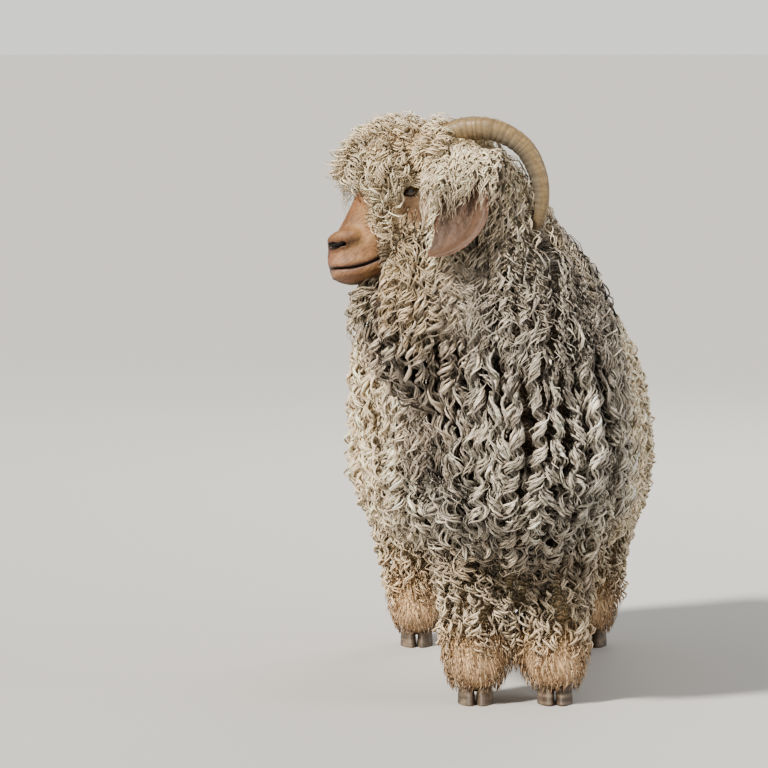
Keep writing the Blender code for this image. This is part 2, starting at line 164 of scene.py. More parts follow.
def distance_lattice(verts, tris, h, pad):
    """Signed distance to a closed surface, under 0 inside, with its gradient."""
    tree = BVHTree.FromPolygons(verts.tolist(), tris.tolist())
    lo, hi = verts.min(0) - pad, verts.max(0) + pad
    n = np.ceil((hi - lo) / h).astype(int) + 1
    grid = np.stack(np.meshgrid(*[lo[k] + h * np.arange(n[k]) for k in range(3)], indexing="ij"), -1).reshape(-1, 3)
    out = np.empty(len(grid))
    nearest = tree.find_nearest
    for i, p in enumerate(grid.tolist()):
        at, normal, _, dist = nearest(p)
        away = (p[0] - at[0]) * normal[0] + (p[1] - at[1]) * normal[1] + (p[2] - at[2]) * normal[2]
        out[i] = dist if away >= 0 else -dist
    phi = out.reshape(*n)
    # the eyes, ears and horns have sockets in the head, and the coat's surface runs on over them
    x, y, z = (lo[k] + h * np.arange(n[k]) for k in range(3))
    x, y, z = x[:, None, None], y[None, :, None], z[None, None, :]
    for centre, radii in WOOLLY_HEAD:
        phi = np.minimum(phi, d_ellipsoid(x, y, z, centre, radii))
    soft = phi.copy()
    for axis in range(3):
        soft = 0.5 * soft + 0.25 * (np.roll(soft, 1, axis) + np.roll(soft, -1, axis))
    inner = np.s_[1:-1, 1:-1, 1:-1]
    phi[inner] = soft[inner]
    grad = np.stack(np.gradient(phi, h), -1)
    return lo, phi, Lattice(lo, h, np.concatenate([phi[..., None], grad], -1))


def outer_shell(verts, tris):
    label = np.arange(len(verts))
    edges = np.concatenate([tris[:, [0, 1]], tris[:, [1, 2]], tris[:, [2, 0]]])
    while True:
        low = np.minimum(label[edges[:, 0]], label[edges[:, 1]])
        new = label.copy()
        np.minimum.at(new, edges[:, 0], low)
        np.minimum.at(new, edges[:, 1], low)
        new = new[new]
        if (new == label).all():
            break
        label = new
    names, counts = np.unique(label, return_counts=True)
    print("outer surface: shells", counts[:12])
    keep = label == names[counts.argmax()]
    again = np.cumsum(keep) - 1
    return verts[keep], again[tris[keep[tris].all(1)]]


hull_v, hull_t = outer_shell(*outer_surface())
HULL_H = 0.010
hull_lo, HULL, hull = distance_lattice(hull_v, hull_t, HULL_H, 0.030)
HULL_BOX = hull_v.min(0), hull_v.max(0)


# ---------------------------------------------------------------- the head
# The head's own measures: s along it from the poll to the lips, e across it in profile (over 0 towards
# the face's front), f from its median plane.
HEAD_O = np.array([-0.075, MY, 0.700])
HEAD_A = np.array([-0.740, 0.0, -0.673])
HEAD_U = np.array([-0.673, 0.0, 0.740])
face_top = curve([
    (-0.035, 0.012), (-0.015, 0.030), (0.010, 0.042), (0.035, 0.049), (0.060, 0.053), (0.085, 0.0540), (0.105, 0.0505),
    (0.126, 0.0435), (0.1486, 0.0335), (0.1729, 0.0245), (0.1916, 0.0182), (0.201, 0.0138), (0.2089, 0.0075),
    (0.2150, -0.0010), (0.2190, -0.0095), (0.2205, -0.0150),
])
face_low = curve([
    (-0.035, -0.020), (-0.015, -0.038), (0.010, -0.052), (0.035, -0.064), (0.060, -0.073), (0.085, -0.0760),
    (0.110, -0.0725), (0.135, -0.0655), (0.160, -0.0580), (0.1816, -0.0515), (0.1955, -0.0465), (0.2080, -0.0385),
    (0.2150, -0.0305), (0.2190, -0.0230), (0.2205, -0.0175),
])
face_half = curve([
    (-0.035, 0.018), (-0.015, 0.034), (0.010, 0.044), (0.035, 0.0485), (0.060, 0.0480), (0.080, 0.0450), (0.100, 0.0395),
    (0.125, 0.0340), (0.150, 0.0300), (0.175, 0.0285), (0.190, 0.0280), (0.2030, 0.0250), (0.2120, 0.0190),
    (0.2185, 0.0100), (0.2205, 0.0040),
])


def head_sef(x, y, z):
    dx, dz = x - HEAD_O[0], z - HEAD_O[2]
    return dx * HEAD_A[0] + dz * HEAD_A[2], dx * HEAD_U[0] + dz * HEAD_U[2], np.abs(y - MY)


def head_point(s, e, f=0.0, side=-1):
    return HEAD_O + HEAD_A * s + HEAD_U * e + np.array([0.0, side * f, 0.0])


# the mouth's line: e against s, from its corner to the front
MOUTH = curve([(0.156, -0.0345), (0.163, -0.0340), (0.171, -0.0315), (0.1794, -0.0282), (0.1933, -0.0205), (0.204, -0.0125), (0.2135, -0.0055), (0.224, -0.0010)])


def d_capsule(x, y, z, a, b, ra, rb):
    a, b = np.asarray(a, float), np.asarray(b, float)
    ab = b - a
    t = np.clip(((x - a[0]) * ab[0] + (y - a[1]) * ab[1] + (z - a[2]) * ab[2]) / (ab @ ab), 0, 1)
    dx, dy, dz = x - a[0] - ab[0] * t, y - a[1] - ab[1] * t, z - a[2] - ab[2] * t
    return np.sqrt(dx * dx + dy * dy + dz * dz) - (ra + (rb - ra) * t)


def d_face(x, y, z):
    s, e, f = head_sef(x, y, z)
    sc = np.clip(s, -0.0345, 0.2203)
    top, low, half = face_top(sc), face_low(sc), face_half(sc)
    mid, high = (top + low) / 2, (top - low) / 2
    ee = (e - mid) / high
    # the bridge is narrower than the lips and cheeks, and the chin narrower again
    narrow = 1 - 0.30 * smooth(-0.1, 1.0, ee) * smooth(0.09, 0.15, sc) - 0.20 * smooth(0.35, 1.0, -ee) * smooth(0.10, 0.17, sc)
    ff = f / (half * narrow)
    m = 2.25
    r = (np.abs(ee) ** m + np.abs(ff) ** m) ** (1 / m)
    return (r - 1) * np.minimum(high, half) * 0.9 + np.maximum(np.abs(s - sc) - 0.0, 0)


class Clay:
    """A distance field on a grid with uneven steps, fine where the face is, built up mass by mass."""

    def __init__(self, xs, ys, zs):
        self.axes = [np.asarray(a, np.float32) for a in (xs, ys, zs)]
        self.v = np.full([len(a) for a in self.axes], 0.2, np.float32)

    def window(self, lo, hi):
        cut = tuple(
            slice(max(int(np.searchsorted(a, l)) - 1, 0), int(np.searchsorted(a, h)) + 1)
            for a, l, h in zip(self.axes, lo, hi)
        )
        x, y, z = (a[c] for a, c in zip(self.axes, cut))
        return cut, x[:, None, None], y[None, :, None], z[None, None, :]

    def add(self, fn, lo, hi, k=0.01):
        cut, x, y, z = self.window(lo, hi)
        d, old = fn(x, y, z), self.v[cut]
        h = np.clip(0.5 + 0.5 * (old - d) / k, 0, 1)
        self.v[cut] = old * (1 - h) + d * h - k * h * (1 - h)

    def carve(self, fn, lo, hi, k=0.002):
        cut, x, y, z = self.window(lo, hi)
        d, old = -fn(x, y, z), self.v[cut]
        h = np.clip(0.5 + 0.5 * (d - old) / k, 0, 1)
        self.v[cut] = old * (1 - h) + d * h + k * h * (1 - h)


def steps(*runs):
    """Grid lines: runs of (start, end, step)."""
    out = []
    for a, b, h in runs:
        n = max(int(round((b - a) / h)), 1)
        out.append(a + (b - a) * np.arange(n) / n)
    out.append([runs[-1][1]])
    return np.concatenate(out)


def spread(values, src, dst, axis):
    """Reads an evenly gridded block at new places along one axis."""
    q = np.clip((dst - src[0]) / (src[1] - src[0]), 0, len(src) - 1.001)
    i = q.astype(int)
    f = (q - i).astype(np.float32)
    shape = [1, 1, 1]
    shape[axis] = -1
    f = f.reshape(shape)
    return np.take(values, i, axis) * (1 - f) + np.take(values, i + 1, axis) * f


EYE_R = 0.0135
EYES = {side: np.array([-0.1300, MY + side * 0.0345, 0.6490]) for side in (-1, 1)}
NOSTRILS = {side: [(-0.2310, MY + side * 0.0105, 0.5800), (-0.2240, MY + side * 0.0168, 0.5820),
                   (-0.2140, MY + side * 0.0222, 0.5856), (-0.2045, MY + side * 0.0252, 0.5890)] for side in (-1, 1)}
NOSTRIL_R = (0.0038, 0.0042, 0.0034, 0.0020)


def bareness(p, soft=0.010):
    """1 on the bare muzzle, 0 where the wool begins: the line runs from the bridge down behind the mouth."""
    s, e, _ = head_sef(*p.T)
    line = 0.139 - 0.52 * e + 0.006 * waves(p, 0.028, 4)
    return smooth(-soft * 0.4, soft * 0.6, s - line) * (p[:, 2] > 0.50) * (p[:, 1] < 0.0) * smooth(-0.076, -0.066, e)


def skin_depth(x, y, z):
    """How deep under the tips of the coat the skin lies."""
    d = 0.028 + 0.024 * smooth(0.03, -0.08, y) * smooth(0.22, 0.30, z)
    d = d - 0.008 * smooth(0.27, 0.22, z) * smooth(0.05, 0.15, y)
    d = d - 0.022 * smooth(0.44, 0.50, z) * smooth(0.04, 0.00, y)
    d = mix(d, 0.0215, smooth(0.215, 0.165, z))
    d = mix(d, 0.0075, smooth(0.115, 0.080, z))
    tail = smooth(0.560, 0.590, y) * smooth(0.40, 0.45, z)
    d = mix(d, 0.017, tail)
    # the crown's and cheeks' wool stands on the skull, made apart
    return d + 0.25 * smooth(0.565, 0.600, z) * smooth(0.0, -0.03, y)


def model_skin():
    xs = steps((-0.255, -0.243, 0.004), (-0.243, -0.165, 0.0014), (-0.165, -0.110, 0.0018), (-0.110, -0.020, 0.0040), (-0.020, 0.225, 0.0090))
    ys = steps(
        (-0.235, -0.160, 0.0065), (-0.160, -0.135, 0.0018), (-0.135, -0.075, 0.0014), (-0.075, -0.055, 0.0018),
        (-0.055, -0.010, 0.0045), (-0.010, 0.680, 0.0090),
    )
    zs = steps((0.000, 0.020, 0.005), (0.020, 0.510, 0.0085), (0.510, 0.530, 0.0035), (0.530, 0.612, 0.0014), (0.612, 0.668, 0.0019), (0.668, 0.765, 0.0042))
    clay = Clay(xs, ys, zs)
    # flesh under the fleece, by its depth under the outer surface
    src = [hull_lo[k] + HULL_H * np.arange(HULL.shape[k]) for k in range(3)]
    block = HULL.astype(np.float32) + skin_depth(src[0][:, None, None], src[1][None, :, None], src[2][None, None, :]).astype(np.float32)
    for axis, new in enumerate((xs, ys, zs)):
        block = spread(block, src[axis], new, axis)
    clay.v = np.minimum(block, 0.2).astype(np.float32)
    cut, x, y, z = clay.window((-1, -1, -1), (1, 1, 0.035))
    # neck, from the shoulders to the poll
    for a, b, ra, rb in (
        ((0.000, 0.010, 0.480), (-0.020, -0.060, 0.565), 0.078, 0.058),
        ((-0.020, -0.060, 0.565), (-0.060, -0.095, 0.650), 0.058, 0.046),
    ):
        clay.add(lambda x, y, z, a=a, b=b, ra=ra, rb=rb: d_capsule(x, y, z, a, b, ra, rb), (-0.17, -0.19, 0.36), (0.13, 0.15, 0.72), 0.02)
    clay.add(lambda x, y, z: d_ellipsoid(x, y, z, (-0.098, MY, 0.668), (0.050, 0.046, 0.046)), (-0.19, -0.19, 0.58), (0.0, -0.02, 0.75), 0.012)
    clay.add(d_face, (-0.25, -0.185, 0.50), (-0.02, -0.025, 0.76), 0.008)
    # matted wool at the heart of the topknot
    clay.add(lambda x, y, z: d_ellipsoid(x, y, z, (-0.134, MY, 0.695), (0.058, 0.050, 0.034)), (-0.23, -0.19, 0.62), (-0.04, -0.02, 0.765), 0.020)
    # and under the jaw, behind the beard
    clay.add(lambda x, y, z: d_ellipsoid(x, y, z, (-0.160, MY, 0.487), (0.028, 0.027, 0.036)), (-0.22, -0.16, 0.43), (-0.10, -0.05, 0.55), 0.020)
    for side in (-1, 1):
        y0 = MY + side * 0.027
        # cheek muscle, brow over the eye, and the bone under it
        clay.add(lambda x, y, z: d_ellipsoid(x, y, z, (-0.108, y0, 0.612), (0.034, 0.020, 0.032)), (-0.18, -0.2, 0.55), (-0.04, 0.0, 0.68), 0.014)
        brow = head_point(0.064, 0.021, 0.0375, side)
        clay.add(lambda x, y, z: d_ellipsoid(x, y, z, brow, (0.019, 0.0105, 0.009)), (-0.18, -0.2, 0.62), (-0.08, 0.0, 0.71), 0.010)
        # eyelids: a shell over the eye, then the opening between them
        ex, ey, ez = EYES[side]
        clay.add(lambda x, y, z: d_ellipsoid(x, y, z, (ex, ey + side * 0.0004, ez), (0.0164, 0.0150, 0.0158)), (ex - 0.03, ey - 0.03, ez - 0.03), (ex + 0.03, ey + 0.03, ez + 0.03), 0.006)

        def opening(x, y, z):
            # along the line between the eye's corners, lower in front
            u = (x - ex) * 0.93 + (z - ez) * 0.36
            v = -(x - ex) * 0.36 + (z - ez) * 0.93 + 0.0004
            lens = np.maximum(np.sqrt(u * u + (v + 0.0110) ** 2), np.sqrt(u * u + (v - 0.0118) ** 2)) - 0.0165
            return np.maximum(lens, 0.0035 - side * (y - ey))

        clay.carve(opening, (ex - 0.022, ey - 0.022, ez - 0.022), (ex + 0.022, ey + 0.022, ez + 0.022), 0.0012)
        # the socket, so that the eye doesn't meet the flesh round it
        clay.carve(lambda x, y, z: d_ellipsoid(x, y, z, (ex, ey, ez), (EYE_R + 0.0004,) * 3), (ex - 0.02, ey - 0.02, ez - 0.02), (ex + 0.02, ey + 0.02, ez + 0.02), 0.0003)
        # nostril: a raised wing round a slit that curls up at its back
        wing = NOSTRILS[side]
        for a, b in ((0, 1), (1, 2), (2, 3)):
            p = [np.array(wing[k]) + np.array([0.0030, -side * 0.0012, 0.0052]) for k in (a, b)]
            clay.add(lambda x, y, z: d_capsule(x, y, z, p[0], p[1], 0.0050, 0.0050), (-0.25, -0.16, 0.55), (-0.18, -0.05, 0.62), 0.013)
        radii = NOSTRIL_R
        for a, b in ((0, 1), (1, 2), (2, 3)):
            clay.carve(lambda x, y, z: d_capsule(x, y, z, wing[a], wing[b], radii[a], radii[b]), (-0.25, -0.16, 0.55), (-0.18, -0.05, 0.62), 0.0034)
        deep = [np.array(wing[2]) + np.array([0.0, side * 0.001, 0.0]), np.array(wing[2]) + np.array([0.012, -side * 0.012, -0.002])]
        clay.carve(lambda x, y, z: d_capsule(x, y, z, deep[0], deep[1], 0.0034, 0.0020), (-0.25, -0.16, 0.55), (-0.18, -0.05, 0.61), 0.002)

    # lips round the mouth's line, and the slit between them
    def lip(offset, reach, radius, front):
        def fn(x, y, z):
            s, e, f = head_sef(x, y, z)
            sc = np.clip(s, 0.168, front)
            half = face_half(sc)
            line = MOUTH(sc) + offset
            edge = half * np.sqrt(np.clip(1 - ((line - (face_top(sc) + face_low(sc)) / 2) / ((face_top(sc) - face_low(sc)) / 2)) ** 2, 0.05, 1)) - reach
            return np.sqrt((e - line) ** 2 + np.maximum(f - edge, 0) ** 2 + (s - sc) ** 2) - radius
        return fn

    box_lo, box_hi = (-0.25, -0.16, 0.52), (-0.155, -0.05, 0.60)
    clay.add(lip(0.0062, 0.0045, 0.0050, 0.2055), box_lo, box_hi, 0.006)
    clay.add(lip(-0.0078, 0.0050, 0.0058, 0.2110), box_lo, box_hi, 0.008)

    def slit(x, y, z):
        s, e, f = head_sef(x, y, z)
        sc = np.clip(s, 0.161, 0.226)
        half = face_half(np.clip(sc, 0, 0.2203))
        thick = 0.0008 + 0.0005 * smooth(0.163, 0.180, sc) - 0.0006 * smooth(0.205, 0.218, sc)
        depth = half - 0.0065
        out = np.sqrt((e - MOUTH(sc)) ** 2 + (s - sc) ** 2) - thick
        return np.maximum(out, np.minimum(depth - f, 0.2160 - s))

    clay.carve(slit, box_lo, box_hi, 0.0030)
    # philtrum
    clay.carve(
        lambda x, y, z: d_capsule(x, y, z, head_point(0.2065, 0.0105), head_point(0.2190, -0.0045), 0.0010, 0.0012),
        (-0.25, MY - 0.01, 0.54), (-0.20, MY + 0.01, 0.60), 0.0025,
    )
    # the brisket, down between the fore legs
    clay.add(lambda x, y, z: d_ellipsoid(x, y, z, (0.0, 0.010, 0.184), (0.040, 0.028, 0.064)), (-0.09, -0.08, 0.10), (0.09, 0.09, 0.29), 0.03)
    # legs' bones, and the pasterns down to the claws
    for sign in (-1, 1):
        for top, low, ra, rb in (
            ((sign * 0.0580, 0.004, 0.280), (sign * 0.0525, -0.002, 0.150), 0.036, 0.029),
            ((sign * 0.1050, 0.455, 0.360), (sign * 0.1280, 0.500, 0.270), 0.046, 0.040),
            ((sign * 0.1280, 0.500, 0.270), (sign * 0.1340, 0.545, 0.195), 0.040, 0.032),
            ((sign * 0.1340, 0.545, 0.195), (sign * 0.1260, 0.551, 0.110), 0.032, 0.026),
            ((sign * 0.0500, -0.004, 0.110), (sign * 0.0500, -0.006, 0.036), 0.0220, 0.0225),
            ((sign * 0.1240, 0.548, 0.110), (sign * 0.1200, 0.527, 0.036), 0.0215, 0.0220),
        ):
            lo, hi = np.minimum(top, low) - 0.075, np.maximum(top, low) + 0.075
            clay.add(lambda x, y, z: d_capsule(x, y, z, top, low, ra, rb), lo, hi, 0.012)
    return clay


def surface_net(v, axes):
    """Quads round the field's zero, one point for each cell that it crosses."""
    inside = v < 0
    n = v.shape
    cells = np.zeros([k - 1 for k in n], np.int8)
    for dx in (0, 1):
        for dy in (0, 1):
            for dz in (0, 1):
                cells += inside[dx:n[0] - 1 + dx, dy:n[1] - 1 + dy, dz:n[2] - 1 + dz]
    active = (cells > 0) & (cells < 8)
    ids = np.full(cells.shape, -1, np.int64)
    where = np.argwhere(active)
    ids[active] = np.arange(len(where))
    i, j, k = where.T
    corner = {}
    for dx in (0, 1):
        for dy in (0, 1):
            for dz in (0, 1):
                corner[dx, dy, dz] = v[i + dx, j + dy, k + dz].astype(float)
    total = np.zeros((len(where), 3))
    count = np.zeros(len(where))
    for axis in range(3):
        others = [a for a in range(3) if a != axis]
        for p in (0, 1):
            for q in (0, 1):
                a = [0, 0, 0]
                a[others[0]], a[others[1]] = p, q
                b = list(a)
                b[axis] = 1
                va, vb = corner[tuple(a)], corner[tuple(b)]
                hit = (va < 0) != (vb < 0)
                t = np.where(hit, va / np.where(hit, va - vb, 1), 0)
                at = np.zeros((len(where), 3))
                at[:, others[0]], at[:, others[1]] = p, q
                at[:, axis] = t
                total[hit] += at[hit]
                count += hit
    frac = total / count[:, None]
    verts = np.empty((len(where), 3))
    for axis, line in enumerate(axes):
        at = where[:, axis]
        verts[:, axis] = line[at] + (line[at + 1] - line[at]) * frac[:, axis]
    quads = []
    for axis in range(3):
        o1, o2 = [(1, 2), (2, 0), (0, 1)][axis]
        a = [slice(None)] * 3
        b = [slice(None)] * 3
        a[axis], b[axis] = slice(0, n[axis] - 1), slice(1, n[axis])
        for o in (o1, o2):
            a[o] = b[o] = slice(1, n[o] - 1)
        ina, inb = inside[tuple(a)], inside[tuple(b)]
        for flip, hits in ((False, ina & ~inb), (True, ~ina & inb)):
            at = np.argwhere(hits)
            at[:, o1] += 1
            at[:, o2] += 1
            ring = []
            for d1, d2 in ((-1, -1), (0, -1), (0, 0), (-1, 0)):
                c = at.copy()
                c[:, o1] += d1
                c[:, o2] += d2
                ring.append(ids[c[:, 0], c[:, 1], c[:, 2]])
            ring = np.stack(ring, 1)
            quads.append(ring[:, ::-1] if flip else ring)
    quads = np.concatenate(quads)
    return verts, quads[(quads >= 0).all(1)]


# --------------------------------------------------------------- mesh making
def new_mesh(name, verts, faces, colours=None, vectors=None, uv=None, smooth_shade=True):
    """faces is (n, 3) or (n, 4). uv is one row for each vertex."""
    mesh = bpy.data.meshes.new(name)
    width = faces.shape[1]
    mesh.vertices.add(len(verts))
    mesh.vertices.foreach_set("co", np.ascontiguousarray(verts + OFF, np.float32).ravel())
    mesh.loops.add(faces.size)
    mesh.loops.foreach_set("vertex_index", np.ascontiguousarray(faces, np.int32).ravel())
    mesh.polygons.add(len(faces))
    mesh.polygons.foreach_set("loop_start", np.arange(0, faces.size, width, dtype=np.int32))
    if smooth_shade:
        mesh.polygons.foreach_set("use_smooth", np.ones(len(faces), bool))
    for key, values in (colours or {}).items():
        layer = mesh.attributes.new(key, "FLOAT_COLOR", "POINT")
        rgba = np.ones((len(verts), 4), np.float32)
        rgba[:, :values.shape[1]] = values
        layer.data.foreach_set("color", rgba.ravel())
    for key, values in (vectors or {}).items():
        layer = mesh.attributes.new(key, "FLOAT_VECTOR", "POINT")
        layer.data.foreach_set("vector", np.ascontiguousarray(values, np.float32).ravel())
    if uv is not None:
        layer = mesh.uv_layers.new(name="OFBake")
        layer.data.foreach_set("uv", np.ascontiguousarray(uv[faces.ravel()], np.float32).ravel())
    mesh.update()
    mesh.validate()
    return mesh


def add_piece(name, mesh, material):
    obj = bpy.data.objects.new(name, mesh)
    bpy.context.scene.collection.objects.link(obj)
    mesh.materials.clear()
    mesh.materials.append(material)
    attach(obj, "root")
    return obj


# ------------------------------------------------------------------ markings
CREAM = np.array([0.870, 0.752, 0.560])
WARM = np.array([0.790, 0.625, 0.420])
SILVER = np.array([0.700, 0.635, 0.535])
# a brown for real stains, also used darkened as painted shade
DIRT_AND_SHADE = np.array([0.360, 0.265, 0.180])
TAN = np.array([0.330, 0.180, 0.083])
RUST = np.array([0.170, 0.075, 0.033])
PINK = np.array([0.320, 0.165, 0.110])
DARK = np.array([0.060, 0.036, 0.024])


def waves(p, scale, seed):
    """Soft random patches, between about -1 and 1."""
    r = np.random.default_rng(seed)
    out = 0
    for _ in range(5):
        k = unit(r.normal(size=3)) / scale * r.uniform(0.7, 1.5)
        out = out + np.sin(p @ k * 2 * np.pi + r.uniform(0, 6.28))
    return out / 2.6


def markings(p, face=1.0):
    """The coat's colour at a place on the skin, the same for skin and locks, with painted shade in a few places.
    The face's own short hair is left out where long wool grows over it."""
    x, y, z = p[:, 0], p[:, 1], p[:, 2]
    c = np.repeat(CREAM[None], len(p), 0)
    c = mix(c, WARM, np.clip(0.30 + 0.34 * waves(p, 0.13, 1), 0, 1)[:, None])
    front = smooth(0.08, -0.10, y) * smooth(0.20, 0.30, z) * smooth(0.66, 0.58, z)
    c = mix(c, SILVER, (0.80 * front)[:, None])
    # the throat's ends, the lower chest and the belly are stained
    throat = smooth(-0.04, -0.10, x) * smooth(0.56, 0.50, z) * smooth(0.36, 0.42, z) * smooth(0.0, -0.05, y)
    dirt = 0.18 * smooth(0.34, 0.22, z) * smooth(0.16, -0.05, y) + 0.16 * smooth(0.30, 0.20, z) + 0.62 * throat
    c = mix(c, DIRT_AND_SHADE, np.clip(dirt + 0.12 * waves(p, 0.09, 2), 0, 0.78)[:, None])
    # painted shade: a dark band in the fold where the chest overhangs the fore legs
    fold_shade = smooth(0.165, 0.190, z) * smooth(0.245, 0.220, z) * smooth(0.10, 0.03, y) * np.clip(0.42 + 0.50 * smooth(-0.01, 0.04, x) + 0.30 * waves(p, 0.05, 8), 0, 1)
    c = mix(c, DIRT_AND_SHADE * 0.45, (0.80 * fold_shade)[:, None])
    # the cheeks' wool is darker from stain and from painted shade; behind the ear the nape's wool is greyer and
    # darkened by a painted shadow of the ear
    cheek = smooth(-0.07, -0.12, x) * smooth(0.650, 0.622, z) * smooth(0.49, 0.53, z) * smooth(0.0, -0.04, y)
    nape = smooth(-0.10, -0.06, x) * smooth(0.695, 0.660, z) * smooth(0.48, 0.52, z) * smooth(0.05, -0.02, y)
    c = mix(c, np.array([0.500, 0.372, 0.220]), (0.80 * cheek * np.clip(0.75 + 0.5 * waves(p, 0.04, 6), 0, 1.3))[:, None])
    c = mix(c, np.array([0.330, 0.285, 0.235]), (0.80 * nape * np.clip(0.85 + 0.4 * waves(p, 0.04, 7), 0, 1.2))[:, None])
    # feet
    legs = smooth(0.128, 0.080, z + 0.010 * waves(p, 0.05, 3))
    c = mix(c, np.array([0.640, 0.430, 0.245]), (0.88 * legs)[:, None])
    c = mix(c, RUST, (0.35 * smooth(0.050, 0.028, z))[:, None])
    # face
    s, e, f = head_sef(x, y, z)
    muzzle = bareness(p) * face
    c = mix(c, TAN * np.array([0.90, 0.93, 0.92]), muzzle[:, None])
    top = face_top(np.clip(s, 0, 0.2203))
    c = mix(c, RUST * 1.15, (muzzle * 0.85 * smooth(0.020, 0.002, top - e) * smooth(0.024, 0.010, f))[:, None])
    c = mix(c, RUST * 1.3, (muzzle * np.clip(0.22 + 0.45 * waves(p, 0.022, 5), 0, 0.5))[:, None])
    c = mix(c, PINK, (muzzle * 0.45 * smooth(0.182, 0.205, s))[:, None])
    # painted shade: the muzzle darker towards the jaw's underside
    c = mix(c, RUST * 1.1, (muzzle * 0.80 * smooth(-0.034, -0.056, e))[:, None])
    temples = smooth(0.50, 0.53, z) * smooth(0.0, -0.04, y) * smooth(0.030, 0.012, np.sqrt((s - 0.086) ** 2 + (e + 0.018) ** 2)) * smooth(0.02, 0.035, f)
    c = mix(c, mix(RUST, TAN, 0.45), (0.85 * face * temples)[:, None])
    return c


# ------------------------------------------------------------------ node kit
class Nodes:
    def __init__(self, name):
        self.mat = bpy.data.materials.new(name)
        self.mat.use_nodes = True
        self.tree = self.mat.node_tree
        self.bsdf = self.tree.nodes["Principled BSDF"]

    def new(self, kind, **settings):
        node = self.tree.nodes.new(kind)
        for key, value in settings.items():
            setattr(node, key, value)
        return node

    def join(self, a, b):
        self.tree.links.new(a, b)

    def put(self, socket, value):
        if isinstance(value, bpy.types.NodeSocket):
            self.join(value, socket)
        else:
            socket.default_value = value

    def attribute(self, name):
        return self.new("ShaderNodeAttribute", attribute_name=name)

    def noise(self, vector, scale, detail=2.0, rough=0.5):
        node = self.new("ShaderNodeTexNoise")
        self.join(vector, node.inputs["Vector"])
        node.inputs["Scale"].default_value = scale
        node.inputs["Detail"].default_value = detail
        node.inputs["Roughness"].default_value = rough
        return node.outputs["Fac"]

    def math(self, op, a, b=0.5, clamp=False):
        node = self.new("ShaderNodeMath", operation=op, use_clamp=clamp)
        self.put(node.inputs[0], a)
        self.put(node.inputs[1], b)
        return node.outputs[0]

    def ramp(self, value, lo, hi, out_lo=0.0, out_hi=1.0):
        node = self.new("ShaderNodeMapRange", interpolation_type="SMOOTHSTEP")
        self.put(node.inputs["Value"], value)
        node.inputs["From Min"].default_value, node.inputs["From Max"].default_value = lo, hi
        node.inputs["To Min"].default_value, node.inputs["To Max"].default_value = out_lo, out_hi
        return node.outputs[0]

    def blend(self, fac, a, b, kind="MIX"):
        node = self.new("ShaderNodeMix", data_type="RGBA", blend_type=kind)
        self.put(node.inputs[0], fac)
        self.put(node.inputs[6], a if isinstance(a, bpy.types.NodeSocket) else (*a, 1.0))
        self.put(node.inputs[7], b if isinstance(b, bpy.types.NodeSocket) else (*b, 1.0))
        return node.outputs[2]

    def bump(self, height, strength, distance, normal=None):
        node = self.new("ShaderNodeBump")
        node.inputs["Strength"].default_value = strength
        node.inputs["Distance"].default_value = distance
        self.join(height, node.inputs["Height"])
        if normal is not None:
            self.join(normal, node.inputs["Normal"])
        return node.outputs[0]

    def scaled(self, vector, x, y, z):
        node = self.new("ShaderNodeMapping")
        self.join(vector, node.inputs["Vector"])
        node.inputs["Scale"].default_value = (x, y, z)
        return node.outputs[0]

    def set(self, **values):
        for key, value in values.items():
            self.put(self.bsdf.inputs[key.replace("_", " ")], value)


def fleece_material(name, roughness=0.42, streak=1.0, low=0.62, high=1.22, gloss=0.60):
    n = Nodes(name)
    colour = n.attribute("coat").outputs["Color"]
    fib = n.attribute("fib").outputs["Vector"]
    fine = n.noise(n.scaled(fib, 1.0, 1.0, 0.10), 3.3, 3.0, 0.68)
    broad = n.noise(n.scaled(fib, 0.25, 0.25, 0.16), 3.0, 1.0)
    shade = n.ramp(fine, 0.30, 0.68, low, high)
    node = n.new("ShaderNodeVectorMath", operation="SCALE")
    n.join(colour, node.inputs[0])
    n.join(shade, node.inputs["Scale"])
    tinted = n.blend(n.ramp(broad, 0.45, 0.75, 0.0, 0.35), node.outputs[0], (0.50, 0.40, 0.28), "MULTIPLY")
    n.set(Base_Color=tinted, Roughness=roughness, Sheen_Weight=0.15, Sheen_Roughness=0.35, Sheen_Tint=(1.0, 0.95, 0.88, 1.0), Specular_IOR_Level=gloss)
    n.set(Normal=n.bump(fine, 0.95 * streak, 0.0012))
    return n.mat


